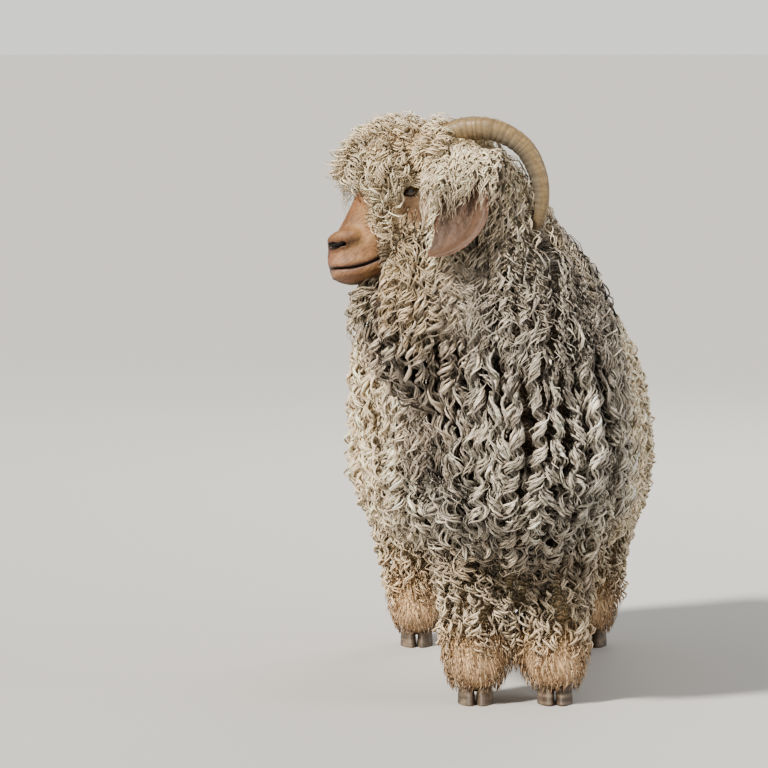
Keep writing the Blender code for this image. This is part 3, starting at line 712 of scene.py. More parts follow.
def skin_material():
    n = Nodes("skin")
    colour = n.attribute("coat").outputs["Color"]
    wet = n.attribute("zones")
    part = n.new("ShaderNodeSeparateColor")
    n.join(wet.outputs["Color"], part.inputs[0])
    place = n.new("ShaderNodeTexCoord").outputs["Object"]
    lie = n.attribute("fib").outputs["Vector"]
    hairs = n.noise(n.scaled(lie, 1.0, 1.0, 1.0), 1.0, 3.0, 0.6)
    patches = n.noise(place, 45.0, 3.0, 0.55)
    specks = n.noise(place, 420.0, 2.0, 0.6)
    shade = n.math("MULTIPLY", n.ramp(hairs, 0.25, 0.75, 0.62, 1.24), n.ramp(patches, 0.25, 0.75, 0.74, 1.16))
    node = n.new("ShaderNodeVectorMath", operation="SCALE")
    n.join(colour, node.inputs[0])
    n.join(shade, node.inputs["Scale"])
    warm = n.blend(n.ramp(specks, 0.55, 0.75, 0.0, 0.12), node.outputs[0], (0.80, 0.62, 0.44))
    bent = n.new("ShaderNodeTexWave", wave_type="BANDS", bands_direction="Z")
    n.join(n.scaled(place, 1.0, 1.0, 0.55), bent.inputs["Vector"])
    for key, value in (("Scale", 95.0), ("Distortion", 9.0), ("Detail", 2.0), ("Detail Scale", 1.3), ("Detail Roughness", 0.55)):
        bent.inputs[key].default_value = value
    curls = n.math("MULTIPLY", bent.outputs["Fac"], part.outputs[2])
    curl_tone = n.math("ADD", n.math("MULTIPLY", curls, 0.62), n.math("SUBTRACT", 1.0, n.math("MULTIPLY", part.outputs[2], 0.42)))
    node = n.new("ShaderNodeVectorMath", operation="SCALE")
    n.join(warm, node.inputs[0])
    n.join(curl_tone, node.inputs["Scale"])
    dark = n.blend(part.outputs[0], node.outputs[0], (0.022, 0.014, 0.012))
    rough = n.ramp(part.outputs[1], 0.0, 1.0, 0.62, 0.34)
    n.set(Base_Color=dark, Roughness=rough, Sheen_Weight=0.10, Sheen_Roughness=0.4, Sheen_Tint=(1.0, 0.85, 0.70, 1.0), Subsurface_Weight=0.06, Subsurface_Scale=0.004)
    n.set(Normal=n.bump(curls, 0.9, 0.0040, n.bump(hairs, 0.70, 0.0008, n.bump(patches, 0.12, 0.0015))))
    return n.mat


def horn_material():
    n = Nodes("horn")
    fib = n.attribute("fib").outputs["Vector"]
    colour = n.attribute("coat").outputs["Color"]
    fibres = n.noise(n.scaled(fib, 6.0, 6.0, 0.8), 3.0, 3.0, 0.6)
    rings = n.noise(n.scaled(fib, 0.35, 0.35, 26.0), 1.0, 2.0, 0.55)
    stain = n.noise(n.scaled(fib, 1.2, 1.2, 3.0), 1.6, 3.0, 0.6)
    shade = n.math("MULTIPLY", n.ramp(fibres, 0.25, 0.75, 0.84, 1.12), n.ramp(rings, 0.30, 0.70, 0.80, 1.10))
    node = n.new("ShaderNodeVectorMath", operation="SCALE")
    n.join(colour, node.inputs[0])
    n.join(shade, node.inputs["Scale"])
    worn = n.blend(n.ramp(stain, 0.42, 0.72, 0.0, 0.55), node.outputs[0], (0.105, 0.080, 0.052))
    n.set(Base_Color=worn, Roughness=n.ramp(stain, 0.3, 0.7, 0.40, 0.58), Specular_IOR_Level=0.45, Coat_Weight=0.08, Coat_Roughness=0.35)
    n.set(Normal=n.bump(rings, 0.35, 0.0010, n.bump(fibres, 0.30, 0.0005)))
    return n.mat


def hoof_material():
    n = Nodes("hoof")
    place = n.new("ShaderNodeTexCoord").outputs["Object"]
    rings = n.noise(n.scaled(place, 14.0, 14.0, 260.0), 1.0, 2.0, 0.5)
    dust = n.noise(place, 60.0, 4.0, 0.6)
    base = n.blend(n.ramp(rings, 0.3, 0.7), (0.050, 0.036, 0.026), (0.150, 0.110, 0.078))
    base = n.blend(n.ramp(dust, 0.45, 0.75, 0.0, 0.65), base, (0.300, 0.235, 0.165))
    n.set(Base_Color=base, Roughness=n.ramp(dust, 0.3, 0.7, 0.45, 0.75))
    n.set(Normal=n.bump(rings, 0.5, 0.0010, n.bump(dust, 0.3, 0.0006)))
    return n.mat


def eye_material():
    """Iris by how far a place lies from the pupil's axis, pupil by its two heights there."""
    n = Nodes("eye")
    at = n.attribute("gaze").outputs["Vector"]
    sep = n.new("ShaderNodeSeparateXYZ")
    n.join(at, sep.inputs[0])
    across, up = sep.outputs[0], sep.outputs[1]
    r = n.math("SQRT", n.math("ADD", n.math("MULTIPLY", across, across), n.math("MULTIPLY", up, up)), 0.0)
    spin = n.math("ARCTAN2", up, across)
    rays_at = n.new("ShaderNodeCombineXYZ")
    n.join(n.math("MULTIPLY", spin, 5.0), rays_at.inputs[0])
    n.join(n.math("MULTIPLY", r, 1.6), rays_at.inputs[1])
    rays = n.noise(rays_at.outputs[0], 3.0, 3.0, 0.6)
    iris = n.blend(n.ramp(rays, 0.3, 0.7), (0.045, 0.020, 0.007), (0.150, 0.078, 0.024))
    iris = n.blend(n.ramp(r, 0.30, 0.66, 0.0, 0.8), iris, (0.10, 0.045, 0.014))
    slot = n.math("ADD", n.math("POWER", n.math("ABSOLUTE", n.math("DIVIDE", across, 0.46)), 4.0), n.math("POWER", n.math("ABSOLUTE", n.math("DIVIDE", up, 0.145)), 4.0))
    pupil = n.ramp(slot, 0.75, 1.15, 1.0, 0.0)
    eye = n.blend(pupil, iris, (0.004, 0.004, 0.005))
    white = n.blend(n.ramp(r, 0.66, 0.80), eye, (0.055, 0.030, 0.020))
    n.set(Base_Color=white, Roughness=0.07, Coat_Weight=1.0, Coat_Roughness=0.02, IOR=1.40)
    return n.mat


# ------------------------------------------------------------------ skin
clay = model_skin()
skin_v, skin_q = surface_net(clay.v, clay.axes)

# keep the one outer body, without any stray bubble of the field
def largest_shell(verts, quads):
    label = np.arange(len(verts))
    edges = np.concatenate([quads[:, [0, 1]], quads[:, [1, 2]], quads[:, [2, 3]], quads[:, [3, 0]]])
    while True:
        low = np.minimum(label[edges[:, 0]], label[edges[:, 1]])
        new = label.copy()
        np.minimum.at(new, edges[:, 0], low)
        np.minimum.at(new, edges[:, 1], low)
        new = new[new]
        if (new == label).all():
            break
        label = new
    names, counts = np.unique(label, return_counts=True)
    keep = label == names[counts.argmax()]
    again = np.cumsum(keep) - 1
    quads = quads[keep[quads].all(1)]
    return verts[keep], again[quads]


skin_v, skin_q = largest_shell(skin_v, skin_q)


def relax(verts, quads, rounds, amount):
    """Evens out the points, each by its share."""
    edges = np.concatenate([quads[:, [0, 1]], quads[:, [1, 2]], quads[:, [2, 3]], quads[:, [3, 0]]])
    edges = np.concatenate([edges, edges[:, ::-1]])
    count = np.bincount(edges[:, 0], minlength=len(verts))[:, None]
    for _ in range(rounds):
        total = np.stack([np.bincount(edges[:, 0], verts[edges[:, 1], k], len(verts)) for k in range(3)], 1)
        verts = verts + (total / count - verts) * amount
    return verts


face_share = smooth(0.10, 0.13, head_sef(*skin_v.T)[0])[:, None] * (skin_v[:, 2:] > 0.50)
skin_v = relax(skin_v, skin_q, 3, 0.35 * (1 - 0.55 * face_share))


def vertex_normals(verts, quads):
    a, b, c, d = (verts[quads[:, k]] for k in range(4))
    n = np.cross(c - a, d - b)
    out = np.zeros_like(verts)
    for k in range(4):
        for axis in range(3):
            out[:, axis] += np.bincount(quads[:, k], n[:, axis], len(verts))
    return unit(out)


skin_n = vertex_normals(skin_v, skin_q)

# ------------------------------------------------------------------ ears
EAR_LINE = [
    (-0.0740, 0.036, 0.6700), (-0.0715, 0.050, 0.6600), (-0.0690, 0.064, 0.6440), (-0.0690, 0.075, 0.6270),
    (-0.0740, 0.083, 0.6090), (-0.0850, 0.088, 0.5930), (-0.0990, 0.090, 0.5800), (-0.1115, 0.090, 0.5715),
]
EAR_HALF = [(0, 0.0110), (0.12, 0.0180), (0.28, 0.0290), (0.45, 0.0350), (0.62, 0.0330), (0.78, 0.0245), (0.90, 0.0140), (0.97, 0.0070), (1.0, 0.0022)]


def ear(side, along=60, around=40):
    """A cupped leaf with a rolled rim: its inner face is turned forward and out."""
    line = spline([(x, MY + side * d, z) for x, d, z in EAR_LINE], along)
    t = np.linspace(0, 1, along)
    half = curve(EAR_HALF)(t)
    tangent = unit(np.gradient(line, axis=0))
    across = np.array([0.86, side * 0.18, 0.46])
    across = unit(across - tangent * (tangent @ across)[:, None])
    out = np.cross(across, tangent)
    out *= np.sign(out[:, 1] * side)[:, None]
    w = np.linspace(-1, 1, around)
    ww = w[None] * (1 + 0.015 * np.sin(9 * t[:, None] + 4 * w[None]))
    cup = 0.0125 * (half / 0.035)[:, None] * (np.abs(w[None]) ** 1.9 - 0.36)
    roll = -0.0050 * smooth(0.78, 1.0, np.abs(w))[None] * smooth(0.05, 0.3, t)[:, None] * smooth(1.0, 0.8, t)[:, None]
    ridges = 0.0007 * np.sin(w[None] * 11 + 1.5 * t[:, None]) * smooth(1.0, 0.5, t)[:, None] * (1 - np.abs(w[None]))
    centre = line[:, None] + across[:, None] * (half[:, None] * ww)[..., None]
    # the ear's hollow looks out and forward: its rims stand out towards the viewer's side
    mid = centre + out[:, None] * (cup + roll + ridges)[..., None]
    du, dv = np.gradient(mid, axis=0), np.gradient(mid, axis=1)
    nrm = unit(np.cross(du, dv))
    nrm *= np.sign((nrm * out[:, None]).sum(-1, keepdims=True))
    edge = np.sqrt(np.clip(1 - np.abs(w) ** 6, 0.02, 1))[None] * np.sqrt(np.clip(1 - (t[:, None]) ** 30, 0.05, 1))
    thick = (0.0034 * (1 - 0.45 * t[:, None]) * edge)[..., None] / 2
    inner, outer_face = mid + nrm * thick, mid - nrm * thick
    verts = np.concatenate([inner.reshape(-1, 3), outer_face.reshape(-1, 3)])
    idx = np.arange(along * around).reshape(along, around)
    far = idx + along * around
    grid = lambda g: np.stack([g[:-1, :-1], g[1:, :-1], g[1:, 1:], g[:-1, 1:]], -1).reshape(-1, 4)
    rim = []
    border = np.concatenate([idx[0, :-1], idx[:-1, -1], idx[-1, :0:-1], idx[:0:-1, 0]])
    nxt = np.roll(border, -1)
    rim = np.stack([border, nxt, nxt + along * around, border + along * around], -1)
    faces = np.concatenate([grid(idx), grid(far)[:, ::-1], rim])
    # faces point out of the solid
    a, b, c, d = (verts[faces[:, k]] for k in range(4))
    volume = (np.cross(b - a, c - a) * a).sum() + (np.cross(c - a, d - a) * a).sum()
    if volume < 0:
        faces = faces[:, ::-1]
    inside = np.concatenate([np.ones(along * around), np.zeros(along * around)])
    tt = np.tile(np.repeat(t, around), 2)
    aw = np.tile(np.tile(w, along), 2)
    return verts, faces, inside, tt, aw


def skin_attributes(v):
    colour = markings(v)
    s, e, f = head_sef(*v.T)
    on_head = (v[:, 2] > 0.50) & (v[:, 1] < 0)
    # bare of wool on the muzzle and feet; elsewhere the ground under the locks, darkened with painted shade
    muzzle = bareness(v, 0.016)
    feet = smooth(0.085, 0.055, v[:, 2])
    shown = np.clip(muzzle + feet, 0, 1)
    for side in (-1, 1):
        eye_near = smooth(0.030, 0.020, np.linalg.norm(v - EYES[side], axis=1))
        shown = np.maximum(shown, eye_near)
    below_eye = smooth(0.036, 0.022, np.sqrt((s - 0.086) ** 2 + (e + 0.018) ** 2)) * smooth(0.02, 0.035, f) * on_head
    shown = np.maximum(shown, below_eye)
    # the ground of the wool, darkened with painted shade: deep and dark under the chest's long locks, paler under the
    # close curls
    ground_shade = mix(np.array([0.66, 0.61, 0.54]), np.array([0.20, 0.155, 0.115]), (smooth(0.10, 0.00, v[:, 1]) * smooth(0.22, 0.28, v[:, 2]) * smooth(0.56, 0.50, v[:, 2]))[:, None])
    ground_shade = mix(ground_shade, np.array([0.84, 0.78, 0.68]), smooth(0.25, 0.20, v[:, 2])[:, None])
    ground_shade = mix(ground_shade, np.array([0.82, 0.76, 0.67]), (on_head * smooth(0.575, 0.60, v[:, 2]))[:, None])
    colour = mix(colour * ground_shade, colour, shown[:, None])
    dark = np.zeros(len(v))
    wet = np.zeros(len(v))
    for side in (-1, 1):
        # rims of the lids, the tear line below the inner corner, and the nostril's hollow, which gets painted shade
        eye = EYES[side]
        near = np.linalg.norm(v - eye, axis=1)
        dark = np.maximum(dark, 0.92 * smooth(0.0168, 0.0152, near) * smooth(0.020, 0.006, np.abs(v[:, 2] - eye[2])))
        wet = np.maximum(wet, smooth(0.018, 0.015, near))
        tear = [eye + np.array([-0.0125, 0, -0.005]), eye + np.array([-0.020, 0, -0.022])]
        ab = tear[1] - tear[0]
        t = np.clip(((v - tear[0]) @ ab) / (ab @ ab), 0, 1)
        gap = np.linalg.norm((v - tear[0] - t[:, None] * ab)[:, [0, 2]], axis=1)
        dark = np.maximum(dark, 0.55 * smooth(0.0045, 0.001, gap) * (1 - t) * (f > 0.02) * on_head)
        wing = np.array(NOSTRILS[side])
        radii = NOSTRIL_R
        for k in range(3):
            ab = wing[k + 1] - wing[k]
            t = np.clip(((v - wing[k]) @ ab) / (ab @ ab), 0, 1)
            gap = np.linalg.norm(v - wing[k] - t[:, None] * ab, axis=1) - (radii[k] + (radii[k + 1] - radii[k]) * t)
            dark = np.maximum(dark, 0.98 * smooth(0.0026, 0.0004, gap))
            colour = mix(colour, RUST * 0.8, (0.75 * smooth(0.0085, 0.0020, gap))[:, None])
            wet = np.maximum(wet, smooth(0.006, 0.001, gap))
    # painted shade along the mouth's slit, between the lips
    slit = np.abs(e - MOUTH(np.clip(s, 0.158, 0.222)))
    in_mouth = (s > 0.160) & on_head
    dark = np.maximum(dark, 0.95 * smooth(0.0032, 0.0012, slit) * in_mouth)
    # the chin's underside and the lower lip's edge get painted shade
    low = smooth(0.010, 0.002, e - face_low(np.clip(s, 0, 0.2203))) * smooth(0.150, 0.180, s) * on_head
    dark = np.maximum(dark, 0.66 * low)
    nose = smooth(0.016, 0.005, np.linalg.norm(v - head_point(0.2010, 0.0125), axis=1)) * 0.60
    dark = np.maximum(dark, nose)
    lips = in_mouth * smooth(0.0085, 0.003, slit)
    colour = mix(colour, PINK * 0.62, (0.70 * lips)[:, None])
    wet = np.maximum(wet, 0.4 * lips)
    return colour, np.stack([dark, wet, 1 - shown], 1)


skin_colour, skin_zones = skin_attributes(skin_v)
# hairs of the short coat run back and down over the face, and down the legs
s, e, f = head_sef(*skin_v.T)
lie = np.stack([skin_v @ HEAD_U * 520, skin_v[:, 1] * 520, skin_v @ HEAD_A * 105], 1)
down = np.stack([skin_v[:, 0] * 420, skin_v[:, 1] * 420, skin_v[:, 2] * 90], 1)
head_here = ((skin_v[:, 2] > 0.50) & (skin_v[:, 1] < 0.02))[:, None]
skin_fib = np.where(head_here, lie, down)

parts = [(skin_v, skin_q, skin_colour, skin_zones, skin_fib)]
ear_shapes = {}
for side in (-1, 1):
    v, q, inside, t, w = ear(side)
    ear_shapes[side] = (v, q, inside, t, w)
    inner = np.array([0.115, 0.063, 0.037])
    colour = mix(np.repeat((CREAM * 0.85)[None], len(v), 0), inner, inside[:, None])
    # painted shade in the ear's hollow near its root
    colour = mix(colour, inner * 0.36, (inside * 0.90 * smooth(0.55, 0.05, t) * smooth(0.95, 0.3, np.abs(w)))[:, None])
    colour = mix(colour, np.array([0.15, 0.062, 0.036]), (0.6 * smooth(0.80, 1.0, np.abs(w)) + 0.5 * smooth(0.9, 1.0, t))[:, None].clip(0, 0.8))
    zones = np.zeros((len(v), 3))
    fibs = np.stack([w * 26 + 3.0 * np.sin(t * 7), inside * 3.0 + side, t * 15], 1)
    parts.append((v, q, colour, zones, fibs))

all_v, all_q, all_c, all_z, all_f = [], [], [], [], []
at = 0
for v, q, c, z, fb in parts:
    all_v.append(v), all_q.append(q + at), all_c.append(c), all_z.append(z), all_f.append(fb)
    at += len(v)
skin_mesh = new_mesh("skin", np.concatenate(all_v), np.concatenate(all_q), {"coat": np.concatenate(all_c), "zones": np.concatenate(all_z)}, {"fib": np.concatenate(all_f)})
skin = add_piece("skin", skin_mesh, skin_material())
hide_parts(*FLESH)

# ------------------------------------------------------------------ eyes
eye_stuff = eye_material()
for side, label in ((1, "right"), (-1, "left")):
    rings, sides = 34, 48
    theta = np.concatenate([[0], np.linspace(0, 1, rings) ** 1.0 * math.pi * 0.999 + 0.0005])
    bm_v = []
    axis = unit(np.array([-0.30, side * 0.945, -0.06]))
    right = unit(np.cross([0, 0, 1.0], axis))
    right = unit(right * 0.97 + np.array([0, 0, 1.0]) * -0.10 * side)
    upv = unit(np.cross(axis, right))
    tt = np.linspace(0, math.pi, rings)
    ph = np.linspace(0, 2 * math.pi, sides, endpoint=False)
    bulge = 1 + 0.055 * np.exp(-(tt / 0.50) ** 4)
    ring_r = EYE_R * 0.985 * np.sin(tt) * bulge
    ring_a = EYE_R * 0.985 * np.cos(tt) * bulge
    v = EYES[side] + ring_a[1:-1, None, None] * axis + ring_r[1:-1, None, None] * (np.cos(ph)[None, :, None] * right + np.sin(ph)[None, :, None] * upv)
    flat = np.stack([np.sin(tt[1:-1])[:, None] * np.cos(ph), np.sin(tt[1:-1])[:, None] * np.sin(ph), np.cos(tt[1:-1])[:, None] + 0 * ph], -1).reshape(-1, 3)
    back = flat[:, 2] < 0
    flat[back, :2] = flat[back, :2] * 0 + 2.0
    verts = np.concatenate([v.reshape(-1, 3), [EYES[side] + axis * ring_a[0]], [EYES[side] + axis * ring_a[-1]]])
    gaze = np.concatenate([flat, [[0, 0, 1]], [[2, 2, -1]]])
    m = rings - 2
    idx = np.arange(m * sides).reshape(m, sides)
    nxt = np.roll(idx, -1, 1)
    tris = np.concatenate([
        np.stack([idx[:-1], idx[1:], nxt[1:]], -1).reshape(-1, 3), np.stack([idx[:-1], nxt[1:], nxt[:-1]], -1).reshape(-1, 3),
        np.stack([np.full(sides, m * sides), idx[0], nxt[0]], -1), np.stack([np.full(sides, m * sides + 1), nxt[-1], idx[-1]], -1),
    ])
    if np.einsum("ij,ij->i", verts[tris[:, 0]] - EYES[side], np.cross(verts[tris[:, 1]] - EYES[side], verts[tris[:, 2]] - EYES[side])).sum() < 0:
        tris = tris[:, ::-1]
    piece = add_piece(f"eyeball_{label}", new_mesh(f"eyeball_{label}", verts, tris, vectors={"gaze": gaze}), eye_stuff)
    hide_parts(f"eye_{label}")

# ------------------------------------------------------------------ horns
HORN = [
    (-0.126, 0.018, 0.6740, 0.0125, 0.0142), (-0.107, 0.021, 0.7000, 0.0125, 0.0144), (-0.083, 0.0245, 0.7180, 0.0124, 0.0144),
    (-0.054, 0.029, 0.7250, 0.0118, 0.0138), (-0.024, 0.033, 0.7213, 0.0110, 0.0130), (0.006, 0.036, 0.7020, 0.0100, 0.0118),
    (0.0235, 0.036, 0.6700, 0.0090, 0.0103), (0.0280, 0.033, 0.6360, 0.0076, 0.0086), (0.0220, 0.028, 0.6080, 0.0058, 0.0064),
    (0.0120, 0.024, 0.5930, 0.0034, 0.0036), (0.0060, 0.022, 0.5860, 0.0006, 0.0006),
]


def horn(side):
    rows, sides = 230, 30
    p = spline([(x, MY + side * d, z, a, b) for x, d, z, a, b in HORN], rows)
    line, half_w, half_d = p[:, :3], p[:, 3], p[:, 4]
    tangent = unit(np.gradient(line, axis=0))
    length = np.concatenate([[0], np.cumsum(np.linalg.norm(np.diff(line, axis=0), axis=1))])
    across = np.array([0, 1.0, 0])
    across = unit(across - tangent * (tangent @ across)[:, None])
    up = np.cross(across, tangent)
    ang = np.linspace(0, 2 * math.pi, sides, endpoint=False)
    total = length[-1]
    # close growth rings, stronger near the root, on a section with a blunt keel along its outer curve
    ringing = 0.5 + 0.5 * np.sin(2 * math.pi * (length / 0.0078 + 0.35 * np.sin(length / 0.013) + 0.2 * np.sin(length / 0.005)))
    ringing = (ringing ** 0.7 - 0.5) * 0.050 * smooth(total, total * 0.55, length)
    wide = 0.016 * np.sin(length / 0.0021 + 1.3 * np.sin(length / 0.011)) * smooth(total, total * 0.6, length)
    grow = 1 + (ringing + wide)[:, None] * (0.75 + 0.25 * np.sin(ang)[None])
    keel = 1 + 0.10 * np.exp(-((np.angle(np.exp(1j * (ang - math.pi / 2)))) / 0.42) ** 2)[None] - 0.05 * np.exp(-((np.angle(np.exp(1j * (ang + math.pi / 2)))) / 0.6) ** 2)[None]
    turn = ang[None] + 0.25 * (length / total)[:, None]
    v = line[:, None] + across[:, None] * (half_w[:, None] * np.cos(turn) * grow)[..., None] + up[:, None] * (half_d[:, None] * np.sin(turn) * grow * keel)[..., None]
    verts = np.concatenate([v.reshape(-1, 3), line[:1], line[-1:] + tangent[-1:] * 0.0006])
    idx = np.arange(rows * sides).reshape(rows, sides)
    nxt = np.roll(idx, -1, 1)
    tris = np.concatenate([
        np.stack([idx[:-1], idx[1:], nxt[1:]], -1).reshape(-1, 3), np.stack([idx[:-1], nxt[1:], nxt[:-1]], -1).reshape(-1, 3),
        np.stack([np.full(sides, rows * sides), idx[0], nxt[0]], -1), np.stack([np.full(sides, rows * sides + 1), nxt[-1], idx[-1]], -1),
    ])
    mid = np.concatenate([np.repeat(line, sides, 0), line[:1], line[-1:]])
    away = verts - mid
    face_n = np.cross(verts[tris[:, 1]] - verts[tris[:, 0]], verts[tris[:, 2]] - verts[tris[:, 0]])
    if (face_n * away[tris[:, 0]]).sum() < 0:
        tris = tris[:, ::-1]
    topside = smooth(-0.3, 0.9, np.sin(turn)) * smooth(0.16, 0.5, (length / total))[:, None] * smooth(1.0, 0.75, length / total)[:, None]
    ochre, grey, tip = np.array([0.275, 0.192, 0.096]), np.array([0.150, 0.135, 0.110]), np.array([0.130, 0.095, 0.060])
    colour = mix(mix(ochre, grey, 0.85 * topside[..., None]), tip, (0.8 * smooth(0.75, 1.0, length / total))[:, None, None])
    colour = mix(colour, colour * 0.55, (smooth(0.15, -0.45, ringing / 0.05) * 0.55)[:, None, None])
    colour = np.concatenate([colour.reshape(-1, 3), colour[0, :1], colour[-1, :1]])
    fib = np.stack([np.cos(turn) * 1.5 + side, np.sin(turn) * 1.5, np.repeat((length / 0.05)[:, None], sides, 1)], -1).reshape(-1, 3)
    fib = np.concatenate([fib, fib[:1], fib[-1:]])
    return verts, tris, colour, fib


horn_stuff = horn_material()
for side, label in ((1, "right"), (-1, "left")):
    v, t, c, fb = horn(side)
    piece = add_piece(f"horn_shape_{label}", new_mesh(f"horn_shape_{label}", v, t, {"coat": c}, {"fib": fb}), horn_stuff)
    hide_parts(f"horn_{label}")

# ------------------------------------------------------------------ hooves
CLAW_LENGTH, CLAW_WIDTH, CLAW_HEIGHT = 0.054, 0.0210, 0.030
hoof_stuff = hoof_material()


def claw(at_x, at_y, lean, phase):
    levels = np.array([0.0, 0.02, 0.06, 0.14, 0.24, 0.34, 0.45, 0.56, 0.68, 0.80, 0.90, 0.97, 1.0])
    share_len = np.interp(levels, [0, 0.02, 0.06, 0.45, 1.0], [0.955, 0.985, 1.0, 0.93, 0.70])
    share_wide = np.interp(levels, [0, 0.02, 0.06, 0.45, 1.0], [0.93, 0.975, 1.0, 0.96, 0.80])
    back = np.interp(levels, [0, 0.45, 1.0], [0.0, 0.004, 0.014])
    ridge = 1 + 0.012 * np.sin(levels * 23 + phase) * (levels > 0.1)
    sides = 36
    turn = 2 * math.pi * np.arange(sides) / sides
    c, s = np.cos(turn)[None], np.sin(turn)[None]
    wide = CLAW_WIDTH / 2 * (share_wide * ridge)[:, None] * np.sign(c) * np.abs(c) ** 0.75
    long = CLAW_LENGTH / 2 * (share_len * ridge)[:, None] * s
    wide = wide * (1 - 0.38 * np.maximum(0, -s) ** 2) - lean * 0.004 * np.maximum(0, -s)
    v = np.stack([at_x + wide, at_y + long + back[:, None], np.repeat((levels * CLAW_HEIGHT)[:, None], sides, 1)], -1)
    rows = len(levels)
    centre_low = v[0].mean(0)
    centre_top = v[-1].mean(0) + np.array([0, 0, 0.0])
    verts = np.concatenate([v.reshape(-1, 3), [centre_low], [centre_top]])
    idx = np.arange(rows * sides).reshape(rows, sides)
    nxt = np.roll(idx, -1, 1)
    tris = np.concatenate([
        np.stack([idx[:-1], nxt[:-1], nxt[1:]], -1).reshape(-1, 3), np.stack([idx[:-1], nxt[1:], idx[1:]], -1).reshape(-1, 3),
        np.stack([np.full(sides, rows * sides), nxt[0], idx[0]], -1), np.stack([np.full(sides, rows * sides + 1), idx[-1], nxt[-1]], -1),
    ])
    return verts, tris


for leg, foot_x, foot_y in (("fore", 0.050, -0.014), ("hind", 0.120, 0.535 - 0.012)):
    for side_name, side in (("left", 1), ("right", -1)):
        for claw_name, off in (("outer", 1), ("inner", -1)):
            node = f"claw_{leg}_{side_name}_{claw_name}"
            v, t = claw(side * (foot_x + off * 0.0118), foot_y, side * off, foot_x * 90 + side + off * 2)
            piece = add_piece(f"hoof_{leg}_{side_name}_{claw_name}", new_mesh(f"hoof_{node}", v, t), hoof_stuff)
            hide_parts(node)


# ------------------------------------------------------------------ locks
def scatter(mask_of, cell, seed, verts=skin_v, quads=skin_q, normals=skin_n, tries=14):
    """Roots spread evenly over a stretch of skin: at most one in each cell of a fine mesh of cells."""
    r = np.random.default_rng(seed)
    a, b, c, d = (verts[quads[:, k]] for k in range(4))
    middle = (a + b + c + d) / 4
    chosen = mask_of(middle) > 0
    if not chosen.any():
        print("no skin for seed", seed)
        return np.zeros((0, 3)), np.zeros((0, 3))
    quads = quads[chosen]
    a, b, c, d = a[chosen], b[chosen], c[chosen], d[chosen]
    area = 0.5 * np.linalg.norm(np.cross(c - a, d - b), axis=1)
    n = int(area.sum() / cell ** 2 * tries)
    pick = r.choice(len(quads), n, p=area / area.sum())
    u, w = r.random((n, 1)), r.random((n, 1))
    p = (a[pick] * (1 - u) + b[pick] * u) * (1 - w) + (d[pick] * (1 - u) + c[pick] * u) * w
    nn = unit(normals[quads[pick, 0]] + normals[quads[pick, 2]])
    keep = r.random(n) < np.clip(mask_of(p), 0, 1) * 1.0
    p, nn = p[keep], nn[keep]
    # thin to a spacing: pairs closer than the cell lose one
    spacing = cell * 0.86
    order = np.arange(len(p))
    key = np.floor(p / spacing).astype(np.int64)
    grid = {}
    kept = []
    pl = p.tolist()
    for i, (kx, ky, kz) in enumerate(key.tolist()):
        px, py, pz = pl[i]
        ok = True
        for dx in (-1, 0, 1):
            for dy in (-1, 0, 1):
                for dz in (-1, 0, 1):
                    for j in grid.get((kx + dx, ky + dy, kz + dz), ()):
                        qx, qy, qz = pl[j]
                        if (px - qx) ** 2 + (py - qy) ** 2 + (pz - qz) ** 2 < spacing ** 2:
                            ok = False
                            break
                    if not ok:
                        break
                if not ok:
                    break
            if not ok:
                break
        if ok:
            grid.setdefault((kx, ky, kz), []).append(i)
            kept.append(i)
    return p[kept], nn[kept]


def grow_paths(root, normal, length, rise, outer, schedule, lean=None, stiff=0.45, follow=1.0, wander=0.0, seed=0, halt=None):
    """Centre lines: out from the skin, then hanging along the coat's outer surface, each at its own
    depth under it. Returns points (n, m, 3), the surface normals there and the share that was grown."""
    n, m = len(root), len(schedule)
    r = np.random.default_rng(seed + 7)
    p = root.copy()
    h = hull(p)
    start_depth = np.maximum(-h[:, 0], 0.002)
    out_n = unit(h[:, 1:])
    heading = unit(normal * 0.6 + out_n * 0.4)
    pts, nrms = [p.copy()], [out_n.copy()]
    alive = np.ones(n)
    grown = np.zeros(n)
    lean = np.zeros((n, 3)) if lean is None else lean
    w_freq, w_phase = r.uniform(70, 150, n), r.uniform(0, 6.28, n)
    for k in range(1, m):
        ds = length * (schedule[k] - schedule[k - 1])
        s = length * schedule[k]
        h = hull(p)
        depth = -h[:, 0]
        nn = unit(h[:, 1:])
        g = np.array([0, 0, -1.0]) + lean
        into = np.minimum((g * nn).sum(1), 0)[:, None]
        hang = g - into * nn
        # on the flat of the back the locks part to either side
        flat = smooth(0.75, 0.98, nn[:, 2])[:, None]
        side = np.stack([np.sign(p[:, 0] + 0.008) * 0.9, np.full(n, 0.25), np.zeros(n)], 1)
        hang = unit(hang + side * flat * 0.8 * (p[:, 1] > 0.03)[:, None] + 1e-6)
        if np.any(wander):
            hang = unit(hang + np.cross(nn, hang) * (wander * np.sin(w_freq * s + w_phase))[:, None])
        t = smooth(0, 1, np.clip(s / rise, 0, 1))
        target = mix(start_depth, outer + 0.006 * (1 - schedule[k]), t)
        error = (depth - target) / 0.014
        push = np.clip(error, -1.0, 1.3)[:, None] * nn * follow
        facing_down = smooth(0.15, -0.45, nn[:, 2])[:, None]
        push = push * (1 - facing_down * (push * nn).sum(1, keepdims=True).clip(0, 1))
        want = unit(hang * (0.35 + 0.65 * t[:, None]) + push + heading * 0.15)
        heading = unit(mix(heading, want, stiff))
        # a lock that hangs free ends where the coat does
        ending = smooth(-0.002, 0.004, h[:, 0]) * smooth(-0.25, -0.6, nn[:, 2])
        alive = alive * (1 - ending)
        if halt is not None and s.max() > 0:
            alive = alive * ~(halt(p) & (schedule[k] > 0.12))
        p = p + heading * (ds * alive)[:, None]
        grown += ds * alive
        pts.append(p.copy())
        nrms.append(nn.copy())
    return np.stack(pts, 1), np.stack(nrms, 1), grown / length


